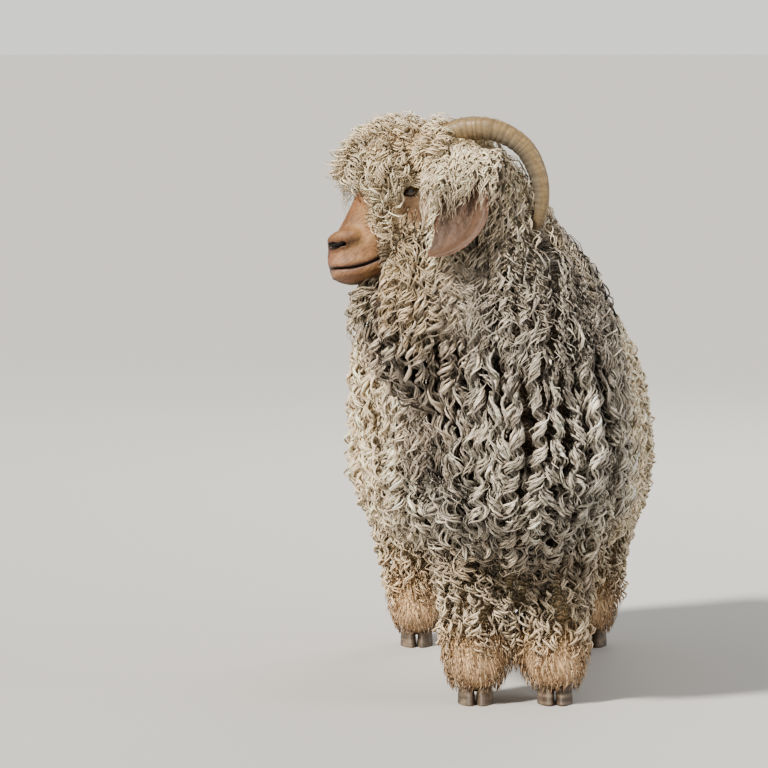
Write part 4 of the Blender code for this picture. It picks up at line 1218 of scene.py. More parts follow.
def girth(p):
    """How far round the body a place lies, measured level from the middle of the chest."""
    radius, back = 0.19, 0.42
    x, y = p[..., 0] + 0.008, p[..., 1]
    flank = radius * math.pi / 2
    side = np.where(x < 0, -1.0, 1.0)
    fore = radius * np.arctan2(x, np.maximum(-y, 1e-4))
    rear = side * (flank + back + radius * np.arctan2(np.maximum(y - back, 0), np.abs(x)))
    return np.where(y < 0, fore, np.where(y > back, rear, side * (flank + y)))


def gather(path, nrm, sched, root_share, *, spacing, pull, seed):
    """Draws neighbouring locks together into hanging columns. Returns the paths and each lock's column."""
    r = np.random.default_rng(seed)
    n = len(path)
    sway = 0.34 * np.sin(path[..., 2] * 19 + 2.0 * np.sin(path[..., 1] * 9 + path[..., 0] * 7)) + 0.16 * np.sin(path[..., 2] * 47 + path[..., 1] * 31)
    u = girth(path) / spacing + sway
    at = int(np.searchsorted(sched, root_share + 0.12))
    own = np.round(u[:, at])
    shift = r.uniform(-0.30, 0.30, 400)[own.astype(int) + 200]
    along = np.cross(np.array([0, 0, 1.0]), nrm)
    along = unit(along * np.array([1.0, 1.0, 0.0]) + 1e-9)
    ahead = girth(path + along * 0.002) - girth(path)
    along = along * np.sign(ahead)[..., None]
    delta = ((own + shift)[:, None] - u) * spacing
    delta = np.clip(delta, -0.6 * spacing, 0.6 * spacing)
    level = 1 - smooth(0.6, 0.9, np.abs(nrm[..., 2]))
    share = (np.asarray(pull) * r.uniform(0.70, 1.15, n))[:, None]
    t = smooth(root_share * 0.5, root_share + 0.30, sched)[None] * level * share
    return path + along * (delta * t)[..., None], own.astype(int) + 200


def tufted(path, sched, root, spacing, pull, seed):
    """Draws each few locks towards the one in their middle, more and more to the tip."""
    r = np.random.default_rng(seed)
    n = len(path)
    heads = []
    for i in r.permutation(n):
        if all(((root[i] - root[j]) ** 2).sum() > spacing ** 2 for j in heads):
            heads.append(i)
    heads = np.array(heads)
    near = ((root[:, None] - root[heads][None]) ** 2).sum(-1).argmin(1)
    t = (smooth(0.15, 1.0, sched) * pull)[None, :, None] * r.uniform(0.6, 1.1, (n, 1, 1))
    return path + (path[heads[near]] - path) * t, near % 400


def in_step(path, sched, group, pitch_of, jitter, seed):
    """Turns of the locks of one group kept in step at every height: hand, phase, pitch, and the row
    where the phase holds."""
    r = np.random.default_rng(seed)
    at = int(np.searchsorted(sched, 0.6))
    z = path[:, at, 2]
    zs = np.linspace(0, 0.8, 801)
    turns = np.cumsum(1 / pitch_of(zs)) * 0.001
    stretch = r.uniform(0.86, 1.16, 400)[group]
    hand = r.choice([-1.0, 1.0], 400)[group]
    phase = r.uniform(0, 6.28, 400)[group] + jitter * r.normal(size=len(z)) - hand * 2 * math.pi * np.interp(z, zs, turns) / stretch
    return hand, phase, pitch_of(z) * stretch, at


def schedule_of(root_rows, rows, root_share):
    """Fractions along a lock: few rows under the coat, the rest even."""
    return np.concatenate([np.linspace(0, root_share, root_rows, endpoint=False), np.linspace(root_share, 1, rows - root_rows)])


def wrap_uv(p, centre, axis, along_range):
    """Where a root lies on the skin, unrolled round an axis."""
    axis = unit(np.asarray(axis, float))
    rel = p - np.asarray(centre, float)
    a = np.array([1.0, 0, 0]) if abs(axis[0]) < 0.9 else np.array([0, 1.0, 0])
    e1 = unit(a - axis * (a @ axis))
    e2 = np.cross(axis, e1)
    turn = np.arctan2(rel @ e2, rel @ e1) / (2 * math.pi) + 0.5
    far = (rel @ axis - along_range[0]) / (along_range[1] - along_range[0])
    return np.stack([0.02 + 0.955 * turn, 0.02 + 0.955 * np.clip(far, 0, 1)], 1)


def body_ply(sides=5, w=0.0075, t=0.0048, place=0.0, out=0.0, loose=0.06, start=0.0, ring=1.0, tone=1.0):
    return dict(sides=sides, w=w, t=t, place=place, out=out, loose=loose, start=start, ring=ring, tone=tone)


def stray_ply(w=0.0009, ring=1.35, start=0.34, loose=0.8, tone=1.12, place=0.4):
    return dict(sides=3, w=w, t=w * 0.9, place=place, out=0.25, loose=loose, start=start, ring=ring, tone=tone)


def build_locks(name, path, nrm, sched, root, material, unwrap, seed, *, length, pitch, radius, plies, root_share,
                deep=None, root_dark=0.42, colour=None, tighten=0.0, tail_taper=0.22, blunt=0.20, size=1.0, chunk=196000,
                bulge=0.22, split=None, step=None, soft=0.0, vary=0.10, dim=0.36, stand=0.85):
    """Locks as bundles of plies wound round each lock's own line, made into pieces. Each ply is one closed,
    tapering solid. deep is how far each lock lies back from the coat's tips, 0 to 1."""
    r = np.random.default_rng(seed)
    n, m = path.shape[:2]
    full = lambda v: np.broadcast_to(np.asarray(v, float), (n,)).copy()
    length, pitch, radius, size = map(full, (length, pitch, radius, size))
    deep = full(0.0 if deep is None else deep)
    tangent = unit(np.gradient(path, axis=1) + 1e-9)
    nx = unit(nrm - tangent * (nrm * tangent).sum(-1, keepdims=True))
    bx = np.cross(tangent, nx)
    arc = np.concatenate([np.zeros((n, 1)), np.cumsum(np.linalg.norm(np.diff(path, axis=1), axis=-1), 1)], 1)
    hand = r.choice([-1.0, 1.0], n)
    frac = sched[None]
    grow_t = np.clip((frac - root_share * 0.7) / (1 - root_share * 0.7), 0, 1)
    turns = length * (1 - root_share * 0.7) / pitch
    uneven = np.sin(grow_t * r.uniform(4, 9, (n, 1)) + r.uniform(0, 6.28, (n, 1))) / (turns[:, None] * 2 * math.pi) * 1.1
    theta = r.uniform(0, 6.28, (n, 1)) + hand[:, None] * 2 * math.pi * turns[:, None] * (grow_t + uneven + tighten * grow_t ** 3 / 3) / (1 + tighten / 3)
    if step is not None:
        hand, phase, pitch, middle = step
        wobble = 0.30 * np.sin(arc * r.uniform(60, 120, (n, 1)) + r.uniform(0, 6.28, (n, 1)))
        theta = phase[:, None] + hand[:, None] * 2 * math.pi * (arc - arc[:, middle:middle + 1]) / pitch[:, None] + wobble
    amp = radius[:, None] * smooth(root_share * 0.3, root_share + 0.15, frac) * (1 - 0.35 * smooth(0.75, 1.0, frac))
    amp = amp * (1 + 0.30 * np.sin(grow_t * r.uniform(5, 13, (n, 1)) + r.uniform(0, 6.28, (n, 1))))
    radial = np.cos(theta)[..., None] * nx * stand + np.sin(theta)[..., None] * bx
    core = path + radial * amp[..., None]
    t2 = unit(np.gradient(core, axis=1) + 1e-9)
    rad_n = unit(radial - t2 * (radial * t2).sum(-1, keepdims=True) + 1e-9)
    wide_dir = np.cross(t2, rad_n)
    root_uv = unwrap(root)
    base = markings(root, 0.0) if colour is None else colour
    # painted shade: locks that lie further back from the coat's tips are made darker, and browner
    lock_tone = np.clip(1 + vary * (1 - 0.5 * soft) * r.normal(size=n), 0.62, 1.16) * (1 - dim * (1 - 0.7 * soft) * deep)
    lock_warm = np.clip(r.normal(size=n) * 0.45 + 0.15 + 0.5 * deep, 0, 1.3) * (1 - 0.5 * soft)
    V, F, C, U, T = [], [], [], [], []
    at = 0
    total_plies = len(plies)
    for k, ply in enumerate(plies):
        first = int(np.searchsorted(sched, ply["start"] - 1e-9)) if ply["start"] > 0 else 0
        cut = slice(first, m)
        rows = m - first
        fr = sched[cut][None]
        sides = ply["sides"]
        own = np.clip((fr - ply["start"]) / (1 - ply["start"]), 0, 1)
        place = ply["place"] * r.choice([-1, 1], n) if ply["place"] > 0.3 else np.full(n, ply["place"])
        place = place + r.normal(size=n) * 0.12
        ply_tone = 1 + vary * 0.7 * r.normal(size=n)
        drift = 0.28 * np.sin(fr * r.uniform(4, 11, (n, 1)) + r.uniform(0, 6.28, (n, 1)))
        together = smooth(0, 0.25, own) * (1 - 0.45 * smooth(0.75, 1.0, own))
        off_w = (place[:, None] + drift * (abs(ply["place"]) + 0.3)) * (mix(1.35 * radius, 0.0065, 0.25) * size)[:, None] * together
        turn = (r.normal(size=n) * ply["loose"])[:, None] * smooth(0, 0.3, own)
        tg, rd = tangent[:, cut], radial[:, cut]
        rad_k = rd * np.cos(turn)[..., None] + np.cross(tg, rd) * np.sin(turn)[..., None]
        swing = amp[:, cut] * mix(1.0, ply["ring"] * (1 + 0.18 * r.normal(size=(n, 1))).clip(0.5, 1.6), smooth(0, 0.3, own))
        line = path[:, cut] + rad_k * (swing + ply["out"] * 0.003 * size[:, None] * together)[..., None] + wide_dir[:, cut] * off_w[..., None]
        t3 = unit(np.gradient(line, axis=1) + 1e-9)
        rn = unit(rad_k - t3 * (rad_k * t3).sum(-1, keepdims=True) + 1e-9)
        wd = np.cross(t3, rn)
        facing = 0.5 + 0.5 * np.cos(theta[:, cut] + turn)       # 1 where the bend stands out from the body
        taper = smooth(-0.10, 0.14, own) * mix(1.0, blunt, smooth(1 - tail_taper, 1.0, fr))
        taper = np.where(fr >= 1.0 - 1e-9, taper * 0.25, taper)
        taper = np.where(own <= 1e-9, taper * 0.35, taper)
        swell = (1 + 0.10 * np.sin(fr * r.uniform(8, 18, (n, 1)) + r.uniform(0, 6.28, (n, 1)))) * (1 + bulge * (facing - 0.45))
        share = r.uniform(0.84, 1.16, (n, 1)) * size[:, None]
        a = ply["w"] * 0.5 * share * taper * swell
        b = ply["t"] * 0.5 * share * taper * swell
        ang = math.pi / 2 + 2 * math.pi * np.arange(sides) / sides
        ring = line[:, :, None] + wd[:, :, None] * (a[..., None] * np.cos(ang))[..., None] + rn[:, :, None] * (b[..., None] * np.sin(ang))[..., None]
        fat = 0.30 + 60 * ply["w"]
        fib = np.empty((n, rows, sides, 3))
        fib[..., 0] = (np.cos(ang) * fat)[None, None] + r.uniform(0, 40, (n, 1, 1)) + k * 1.1
        fib[..., 1] = (np.sin(ang) * fat)[None, None] + r.uniform(0, 40, (n, 1, 1))
        fib[..., 2] = (arc[:, cut] / 0.004)[..., None]
        # darker and browner under the coat, partly a stained base and partly painted shade; the bends that stand out
        # get a painted highlight and those turned in painted shade
        lift = smooth(0.0, root_share + 0.14, fr)
        tone = mix(mix(root_dark, 0.86, soft), 1.0, lift) * (lock_tone * ply_tone)[:, None] * ply["tone"]
        tone = tone * (1 + vary * 0.9 * np.sin(arc[:, cut] * r.uniform(120, 260, (n, 1)) + r.uniform(0, 6.28, (n, 1))))
        tone = tone * mix(0.70 + 0.44 * facing, 1.0, 0.6 * soft)
        warm = np.clip(lock_warm[:, None] * 0.34 * (1 - 0.4 * lift) + 0.18 * smooth(0.78, 1.0, fr), 0, 1)
        c = np.minimum(base[:, None] * tone[..., None], 0.93)
        c = mix(c, c * (WARM / CREAM), warm[..., None])
        slot = (np.arange(sides) + 0.5) / sides
        pu = root_uv[:, None, None, 0] + 0.003 * ((k + 0.9 * slot[None, None]) / total_plies - 0.5)
        pv = root_uv[:, None, None, 1] + 0.003 * (fr[..., None] - 0.5)
        uv = np.stack(np.broadcast_arrays(pu, pv), -1)
        V.append(ring.reshape(n, -1, 3)), F.append(fib.reshape(n, -1, 3)), U.append(np.broadcast_to(uv, (n, rows, sides, 2)).reshape(n, -1, 2))
        C.append(np.repeat(c[:, :, None], sides, 2).reshape(n, -1, 3))
        idx = at + np.arange(rows * sides).reshape(rows, sides)
        nxt = np.roll(idx, -1, 1)
        tris = [np.stack([idx[:-1], idx[1:], nxt[1:]], -1).reshape(-1, 3), np.stack([idx[:-1], nxt[1:], nxt[:-1]], -1).reshape(-1, 3)]
        fan = np.array([[0, q, q + 1] for q in range(1, sides - 1)])
        tris += [idx[0][fan], idx[-1][fan[:, ::-1]]]
        tris = np.concatenate(tris)
        probe = V[-1][0]
        local = tris - at
        mid = np.repeat(ring[0].mean(1), sides, 0)
        fn = np.cross(probe[local[:, 1]] - probe[local[:, 0]], probe[local[:, 2]] - probe[local[:, 0]])
        if (fn * (probe - mid)[local[:, 0]])[:2 * rows].sum() < 0:
            tris = tris[:, ::-1]
        T.append(tris)
        at += rows * sides
    V, F, C, U = (np.concatenate(part, 1) for part in (V, F, C, U))
    one = np.concatenate(T)
    step = max(chunk // len(one), 1)
    count = max(int(math.ceil(n / step)), 1)
    order = np.argsort(split(root) if split is not None else root[:, 1])
    pieces = []
    for c in range(count):
        sel = order[c * n // count:(c + 1) * n // count]
        tris = (one[None] + (np.arange(len(sel)) * at)[:, None, None]).reshape(-1, 3)
        label = f"{name}_{c + 1}" if count > 1 else name
        mesh = new_mesh(label, V[sel].reshape(-1, 3), tris, {"coat": C[sel].reshape(-1, 3)}, {"fib": F[sel].reshape(-1, 3)}, U[sel].reshape(-1, 2))
        pieces.append(add_piece(label, mesh, material))
    TALLY.append((name, n, n * len(one)))
    return pieces


def locks(name, root, normal, material, *, length, rise, outer, rows, root_rows, root_share, unwrap, seed, lean=None,
          stiff=0.45, follow=1.0, wander=0.0, least=0.55, outer_range=(0.004, 0.018), clear_eyes=False, halt=None, avoid=None, column=None,
          tuft=None, pitch_of=None, jitter=0.35, **shape):
    sched = schedule_of(root_rows, rows, root_share)
    n = len(root)
    full = lambda v: np.broadcast_to(np.asarray(v, float), (n,)).copy()
    length, rise, outer = map(full, (length, rise, outer))
    rise = np.minimum(rise, np.maximum(-hull(root)[:, 0], 0) * 1.25 + 0.006)
    path, nrm, share = grow_paths(root, normal, length, rise, outer, sched, lean, stiff, follow, wander, seed, halt)
    length = length * np.maximum(share, 0.2)
    path, nrm, _ = grow_paths(root, normal, length, rise, outer, sched, lean, stiff, follow, wander, seed)
    group = None
    if column is not None:
        path, group = gather(path, nrm, sched, root_share, seed=seed + 5, **column)
    if tuft is not None:
        path, group = tufted(path, sched, root, *tuft, seed + 6)
    keep = share > least
    if avoid is not None:
        late = sched > 0.2
        keep &= ~avoid(path[:, late].reshape(-1, 3)).reshape(n, -1).any(1)
    if clear_eyes:
        over = np.zeros(n, bool)
        for side in (-1, 1):
            ex, ey, ez = EYES[side]
            near = (np.abs(path[..., 0] - ex + 0.001) < 0.0098) & (np.abs(path[..., 2] - ez + 0.003) < 0.0064) & (side * (path[..., 1] - ey) > 0)
            over |= near.any(1)
        keep &= ~over | (np.random.default_rng(seed + 3).random(n) < 0.16)
    picked = {k: (v[keep] if isinstance(v, np.ndarray) and len(v) == n else v) for k, v in shape.items()}
    deep = smooth(*outer_range, outer)[keep]
    if pitch_of is not None:
        picked["step"] = in_step(path[keep], sched, group[keep], pitch_of, jitter, seed + 8)
        picked["pitch"] = 0.02
    return build_locks(name, path[keep], nrm[keep], sched, root[keep], material, unwrap, seed, length=length[keep], root_share=root_share, deep=deep, **picked)


def threaded(ctrl, sched, reach):
    """Paths through six points each, run as far along them as reach."""
    knots = sched[None] * reach[:, None] * 5
    i = np.minimum(knots.astype(int), 4)
    w = (knots - i)[..., None]
    take = lambda k: np.take_along_axis(ctrl, np.clip(i + k, 0, 5)[..., None].repeat(3, -1), 1)
    a, b, c, d = take(-1), take(0), take(1), take(2)
    return 0.5 * (2 * b + (c - a) * w + (2 * a - 5 * b + 4 * c - d) * w ** 2 + (3 * b - a - 3 * c + d) * w ** 3)


TALLY = []
wool = fleece_material("fleece", 0.27, 1.0, 0.46, 1.26, 0.95)
soft_wool = fleece_material("fine_fleece", 0.36, 0.8, 0.68, 1.20, 0.70)
crown_wool = fleece_material("crown_fleece", 0.34, 0.7, 0.74, 1.24, 0.80)


# regions, by where the root lies
def mask_head(p):
    return (p[:, 2] > 0.556) & (p[:, 1] < -0.015)


def shoulder(p):
    return p[:, 1] - 0.035 - 0.022 * waves(p, 0.035, 26)


def mask_chest(p):
    return ((shoulder(p) < 0) & (p[:, 2] > 0.205) & ~mask_head(p)).astype(float)


def mask_throat(p):
    return ((p[:, 0] < -0.085) & (p[:, 1] < 0) & (p[:, 2] > 0.492) & (p[:, 2] < 0.580)).astype(float)


def mask_body(p):
    return ((shoulder(p) >= 0) & (p[:, 2] > 0.190) & (p[:, 1] < 0.590)).astype(float)


def mask_tail(p):
    return (p[:, 1] >= 0.590).astype(float)


def mask_legs(p):
    return ((p[:, 2] <= 0.215) & (p[:, 2] > 0.098)).astype(float)


def mask_spats(p):
    return ((p[:, 2] <= 0.110) & (p[:, 2] > 0.028)).astype(float)


trunk_uv = lambda p: wrap_uv(p, (-0.005, 0, 0.38), (0, 1, 0), (-0.24, 0.68))
neck_uv = lambda p: wrap_uv(p, (-0.01, -0.05, 0), (0, 0.0, 1), (0.18, 0.75))
head_uv = lambda p: wrap_uv(p, HEAD_O, HEAD_A, (-0.06, 0.23))


def any_way(root, amount, seed, scale=0.05):
    """Leans that change from lock to lock and drift from place to place."""
    r = np.random.default_rng(seed)
    out = r.normal(size=(len(root), 3)) * amount * 0.6
    for k in range(3):
        out[:, k] += amount * waves(root, scale, seed + k)
    out[:, 2] *= 0.4
    return out


# chest and neck: long hanging ringlets above, close curls below
def on_muzzle(p):
    s, e, f = head_sef(*p.T)
    return (s > 0.147 - 0.52 * e) & (e < 0.034) & (e > -0.062) & (f < 0.06) & (p[:, 2] > 0.50) & (p[:, 1] < 0)


def under_chin(p):
    return (p[:, 2] > 0.500) & (p[:, 0] < -0.172) & (p[:, 1] < 0)


root, normal = scatter(lambda p: mask_chest(p) * (1 - mask_throat(p)), 0.0176, 11)
z = root[:, 2]
n = len(root)
high = smooth(0.28, 0.42, z)
# the hollow where the neck's ringlets overhang the flank: its locks lie deeper there
hollow = smooth(-0.04, -0.085, root[:, 0]) * smooth(0.31, 0.35, z) * smooth(0.46, 0.42, z) * smooth(0.02, -0.04, root[:, 1])
locks(
    "fleece_chest", root, normal, wool, length=mix(0.100, 0.190, high) * rng.uniform(0.84, 1.14, n), rise=mix(0.050, 0.058, high),
    outer=rng.uniform(0.003, 0.024, n) * mix(1.0, 0.6, smooth(-0.04, 0.03, root[:, 1])) + 0.020 * hollow, outer_range=(0.006, 0.024), pitch=0.02, pitch_of=lambda z: mix(0.0290, 0.0430, smooth(0.26, 0.44, z)), jitter=0.45, vary=0.20, bulge=0.24, dim=0.58, stand=0.62,
    radius=mix(0.0050, 0.0046, high) * rng.uniform(0.65, 1.30, n), size=mix(0.92, 1.04, high) * rng.uniform(0.85, 1.15, n) * mix(1.0, 0.78, smooth(0.47, 0.55, z)),
    plies=[body_ply(4, 0.0050, 0.0038, place=-0.2), body_ply(3, 0.0038, 0.0028, place=0.75, out=0.3, loose=0.28, start=0.16, ring=1.05, tone=1.0),
           body_ply(3, 0.0026, 0.0020, place=-0.95, out=0.3, loose=0.38, start=0.20, ring=0.95, tone=0.95),
           body_ply(3, 0.0014, 0.0012, place=0.35, out=0.9, loose=0.8, start=0.36, ring=1.50, tone=1.12)],
    rows=31, root_rows=4, root_share=0.30, unwrap=neck_uv, seed=31, lean=any_way(root, 0.12, 21, 0.08), wander=0.34,
    # painted shade: the locks' colour darkened in that hollow
    colour=markings(root, 0.0) * (1 - 0.45 * hollow[:, None]),
    column=dict(spacing=0.0235, pull=mix(0.30, 0.66, high)), avoid=lambda p: under_chin(p) | on_muzzle(p), split=lambda p: p[:, 0],
)

# the throat under the jaw: closer ringlets, stained
root, normal = scatter(mask_throat, 0.0125, 16)
n = len(root)
locks(
    "fleece_throat", root, normal, wool, length=rng.uniform(0.090, 0.135, n), rise=0.030, outer=rng.uniform(0.001, 0.016, n),
    pitch=0.02, pitch_of=lambda z: 0.0280 + 0 * z, jitter=0.5, vary=0.18, bulge=0.24, stand=0.65, radius=rng.uniform(0.0032, 0.0052, n), size=rng.uniform(0.85, 1.15, n),
    plies=[body_ply(4, 0.0044, 0.0034, place=-0.2), body_ply(3, 0.0032, 0.0024, place=0.75, out=0.3, loose=0.28, start=0.16, ring=1.05),
           body_ply(3, 0.0022, 0.0017, place=-0.95, out=0.3, loose=0.38, start=0.20, ring=0.95)],
    rows=28, root_rows=4, root_share=0.28, unwrap=neck_uv, seed=37, lean=any_way(root, 0.12, 28, 0.06), wander=0.30, column=dict(spacing=0.0195, pull=0.60),
    avoid=lambda p: under_chin(p) | on_muzzle(p), outer_range=(0.004, 0.016),
)

# body, both sides, back and rump: ringlets that part along the spine
root, normal = scatter(mask_body, 0.0184, 12)
n = len(root)
back_lean = any_way(root, 0.16, 22, 0.08)
back_lean[:, 1] += 0.10
locks(
    "fleece_body", root, normal, soft_wool, length=rng.uniform(0.088, 0.120, n), rise=0.034, outer=rng.uniform(0.002, 0.015, n),
    pitch=0.02, pitch_of=lambda z: 0.0280 + 0 * z, jitter=1.1, soft=0.5, vary=0.13, bulge=0.08, radius=rng.uniform(0.0034, 0.0056, n), size=rng.uniform(0.85, 1.15, n), outer_range=(0.005, 0.018),
    plies=[body_ply(4, 0.0052, 0.0038, place=-0.2), body_ply(3, 0.0032, 0.0024, place=0.70, out=0.6, loose=0.35, start=0.30, ring=1.18, tone=1.06)],
    rows=24, root_rows=3, root_share=0.30, unwrap=trunk_uv, seed=32, lean=back_lean, wander=0.30,
    column=dict(spacing=0.0215, pull=0.45),
)
# shorter curls that cross the parting along the spine
root, normal = scatter(lambda p: mask_body(p) * (np.abs(p[:, 0] + 0.008) < 0.034) * (p[:, 2] > 0.40), 0.0118, 17)
n = len(root)
locks(
    "fleece_spine", root, normal, soft_wool, length=rng.uniform(0.062, 0.082, n), rise=0.024, outer=rng.uniform(0.000, 0.006, n),
    pitch=0.02, pitch_of=lambda z: 0.0170 + 0 * z, jitter=1.0, soft=0.5, vary=0.13, radius=rng.uniform(0.0030, 0.0046, n), size=rng.uniform(0.8, 1.1, n),
    plies=[body_ply(3, 0.0042, 0.0032, place=-0.2)], rows=20, root_rows=3, root_share=0.34, unwrap=trunk_uv, seed=38,
    lean=any_way(root, 1.1, 29, 0.05), wander=0.6, tuft=(0.020, 0.40), outer_range=(0.005, 0.018),
)
root, normal = scatter(mask_tail, 0.0142, 13)
n = len(root)
locks(
    "fleece_tail", root, normal, soft_wool, length=rng.uniform(0.045, 0.070, n), rise=0.018, outer=rng.uniform(0.002, 0.008, n),
    pitch=rng.uniform(0.013, 0.018, n), radius=rng.uniform(0.0026, 0.0040, n), plies=[body_ply(4, 0.0062, 0.0036)],
    soft=0.4, rows=24, root_rows=3, root_share=0.25, unwrap=trunk_uv, seed=33, lean=any_way(root, 0.3, 25, 0.06), wander=0.4,
)

# legs: short curls, then the straighter tan hair over the hooves
for k, (label, cx, cy) in enumerate((("fore_left", 0.052, 0.0), ("fore_right", -0.052, 0.0), ("hind_left", 0.128, 0.53), ("hind_right", -0.128, 0.53))):
    near = lambda p: (np.sign(p[:, 0]) == np.sign(cx)) & ((p[:, 1] < 0.25) == (cy < 0.25))
    leg_uv = lambda p: wrap_uv(p, (cx, cy, 0), (0, 0, 1), (0.0, 0.24))
    root, normal = scatter(lambda p: mask_legs(p) * near(p), 0.0118, 40 + k)
    n = len(root)
    locks(
        f"fleece_leg_{label}", root, normal, soft_wool, length=rng.uniform(0.048, 0.068, n), rise=0.026, outer=rng.uniform(0.001, 0.009, n),
        pitch=rng.uniform(0.0105, 0.0145, n), radius=rng.uniform(0.0026, 0.0042, n), plies=[body_ply(3, 0.0038, 0.0028, place=-0.25), body_ply(3, 0.0030, 0.0022, place=0.65, out=0.3, loose=0.3, start=0.2, ring=1.1)], rows=19, soft=0.75, tuft=(0.019, 0.45), pitch_of=lambda z: 0.0210 + 0 * z, jitter=0.7,
        root_rows=3, root_share=0.34, unwrap=leg_uv, seed=50 + k, lean=any_way(root, 0.35, 90 + k, 0.04), wander=0.4, outer_range=(0.003, 0.012),
    )
    root, normal = scatter(lambda p: mask_spats(p) * near(p), 0.0060, 60 + k)
    n = len(root)
    locks(
        f"hair_foot_{label}", root, normal, soft_wool, length=rng.uniform(0.017, 0.027, n), rise=0.010,
        outer=rng.uniform(0.000, 0.003, n) + 0.008 * smooth(0.070, 0.032, root[:, 2]),
        pitch=rng.uniform(0.014, 0.024, n), radius=rng.uniform(0.0005, 0.0014, n), plies=[body_ply(3, 0.0022, 0.0013)], rows=6, soft=0.6,
        root_rows=2, root_share=0.30, root_dark=0.75, unwrap=leg_uv, seed=70 + k, tail_taper=0.6, blunt=0.1, lean=any_way(root, 0.15, 95 + k, 0.03),
    )


# head
def mask_topknot(p):
    s, e, f = head_sef(*p.T)
    eye_clear = np.minimum(np.linalg.norm(p - EYES[-1], axis=1), np.linalg.norm(p - EYES[1], axis=1)) > 0.0172
    return (mask_head(p) & (bareness(p) < 0.35) & eye_clear).astype(float)


def below_eye(p):
    s, e, f = head_sef(*p.T)
    return (np.hypot(s - 0.086, e + 0.018) < 0.0085) & (f > 0.02) & (p[:, 2] > 0.55)


HORN_LINES = {side: spline([(x, MY + side * d, z) for x, d, z, a, b in HORN], 60) for side in (-1, 1)}


def off_limits(p):
    """The bare face's front, and the horns beyond their roots."""
    bound = -0.187 + (0.640 - p[:, 2]) * 0.16
    stop = (p[:, 0] < bound) & (p[:, 2] < 0.646) & (p[:, 2] > 0.536) & ((p[:, 1] < MY + 0.014) | (p[:, 2] < 0.590))
    for side in (-1, 1):
        line = HORN_LINES[side]
        near = ((p[:, None] - line[None, ::3]) ** 2).sum(-1)
        reach = np.where(np.arange(0, 60, 3) < 13, 0.0095, 0.0185)
        stop |= (near < reach[None] ** 2).any(1)
    return stop


root, normal = scatter(mask_topknot, 0.0108, 14)
n = len(root)
s, e, f = head_sef(*root.T)
crown = smooth(-0.010, 0.020, e)                       # 1 on the forelock, 0 on the cheeks
depth0 = np.maximum(-hull(root)[:, 0], 0.0)
lean = any_way(root, 0.42, 23, 0.04) * mix(0.30, 1.0, crown)[:, None]
lean[:, 0] += -0.30 * crown
nape = smooth(0.075, 0.020, s) * smooth(0.010, -0.020, e)
locks(
    "fleece_head", root, normal, crown_wool, length=depth0 * 1.15 + rng.uniform(0.036, 0.058, n) + 0.080 * nape + 0.036 * (1 - crown), rise=np.maximum(depth0 * 1.10, 0.010),
    outer=np.where(rng.random(n) < 0.38 * crown, rng.uniform(0.010, 0.026, n), rng.uniform(0.000, 0.009, n)), outer_range=(0.008, 0.030),
    pitch=0.02, pitch_of=lambda z: mix(0.0260, 0.0150, smooth(0.64, 0.69, z)), jitter=0.6, tuft=(0.021, 0.44), vary=0.11, bulge=0.10, dim=0.80,
    radius=mix(rng.uniform(0.0018, 0.0036, n), rng.uniform(0.0034, 0.0054, n), crown), size=rng.uniform(0.85, 1.2, n), soft=0.75,
    plies=[body_ply(3, 0.0022, 0.0016, place=-0.25), body_ply(3, 0.0018, 0.0014, place=0.65, out=0.4, loose=0.25, start=0.16, ring=1.10, tone=1.02),
           body_ply(3, 0.0017, 0.0013, place=-0.80, out=0.4, loose=0.30, start=0.22, ring=0.90, tone=1.04),
           stray_ply(w=0.0013, ring=1.45, start=0.28, loose=1.0, place=0.9)],
    rows=30, root_rows=4, root_share=0.32, unwrap=head_uv, seed=34, lean=lean, stiff=0.5, follow=1.4, wander=mix(0.28, 0.60, crown), least=0.5, clear_eyes=True,
    halt=off_limits, avoid=lambda p: on_muzzle(p) | below_eye(p),
)

# the fringe that falls over each ear, rooted above it
for side, label in ((1, "right"), (-1, "left")):
    r = np.random.default_rng(80 + side)
    n = 74
    thin = np.arange(n) % 4 == 3
    u = (np.arange(n) + r.uniform(0.1, 0.9, n)) / n
    x0 = mix(-0.112, -0.040, u)
    deep = r.uniform(0, 1, n)
    reach = mix(0.62, 1.0, r.random(n)) * mix(1.0, 0.74, smooth(0.15, 0.75, u))
    reach = np.where(thin, np.clip(reach * 1.25, 0.8, 1.0), reach)
    y = lambda d: MY + side * d
    ones = np.ones(n)
    ctrl = np.stack([
        np.stack([x0 * 0.9 - 0.004, y(0.028 * ones), 0.692 + 0.010 * np.sin(3.1 * u)], 1),
        np.stack([x0 - 0.002, y(0.046 + 0.006 * deep), 0.696 + 0.008 * np.sin(3.1 * u) - 0.004 * deep], 1),
        np.stack([x0 - 0.004, y(0.064 + 0.008 * deep), 0.682 - 0.006 * deep + 0 * u], 1),
        np.stack([x0 - 0.006 - 0.006 * u, y(0.080 + 0.008 * deep), 0.660 - 0.004 * deep + 0 * u], 1),
        np.stack([x0 - 0.008 - 0.012 * u, y(0.091 + 0.006 * deep + 0.008 * thin), 0.636 + 0 * u], 1),
        np.stack([x0 - 0.008 - 0.018 * u, y(0.098 + 0.005 * deep + 0.013 * thin), 0.606 - 0.012 * (1 - u)], 1),
    ], 1)
    m = 34
    sched = schedule_of(4, m, 0.22)
    path = threaded(ctrl, sched, reach)
    out = unit(np.stack([-0.1 * np.ones((n, m)), side * np.ones((n, m)), 0.25 * np.ones((n, m))], -1))
    root = path[:, 0].copy()
    build_locks(
        f"fleece_ear_{label}", path, out, sched, root, crown_wool, head_uv, 83 + side, length=0.12 * reach, pitch=r.uniform(0.016, 0.026, n),
        radius=r.uniform(0.0018, 0.0036, n), size=r.uniform(0.40, 0.60, n) * np.where(thin, 0.6, 1.0), root_share=0.22,
        plies=[body_ply(3, 0.0060, 0.0036), body_ply(3, 0.0030, 0.0020, place=0.8, loose=0.3, start=0.2, ring=1.3)],
        colour=np.repeat(mix(CREAM, WARM, 0.18)[None], n, 0), tail_taper=0.45, blunt=0.15, soft=0.6,
    )

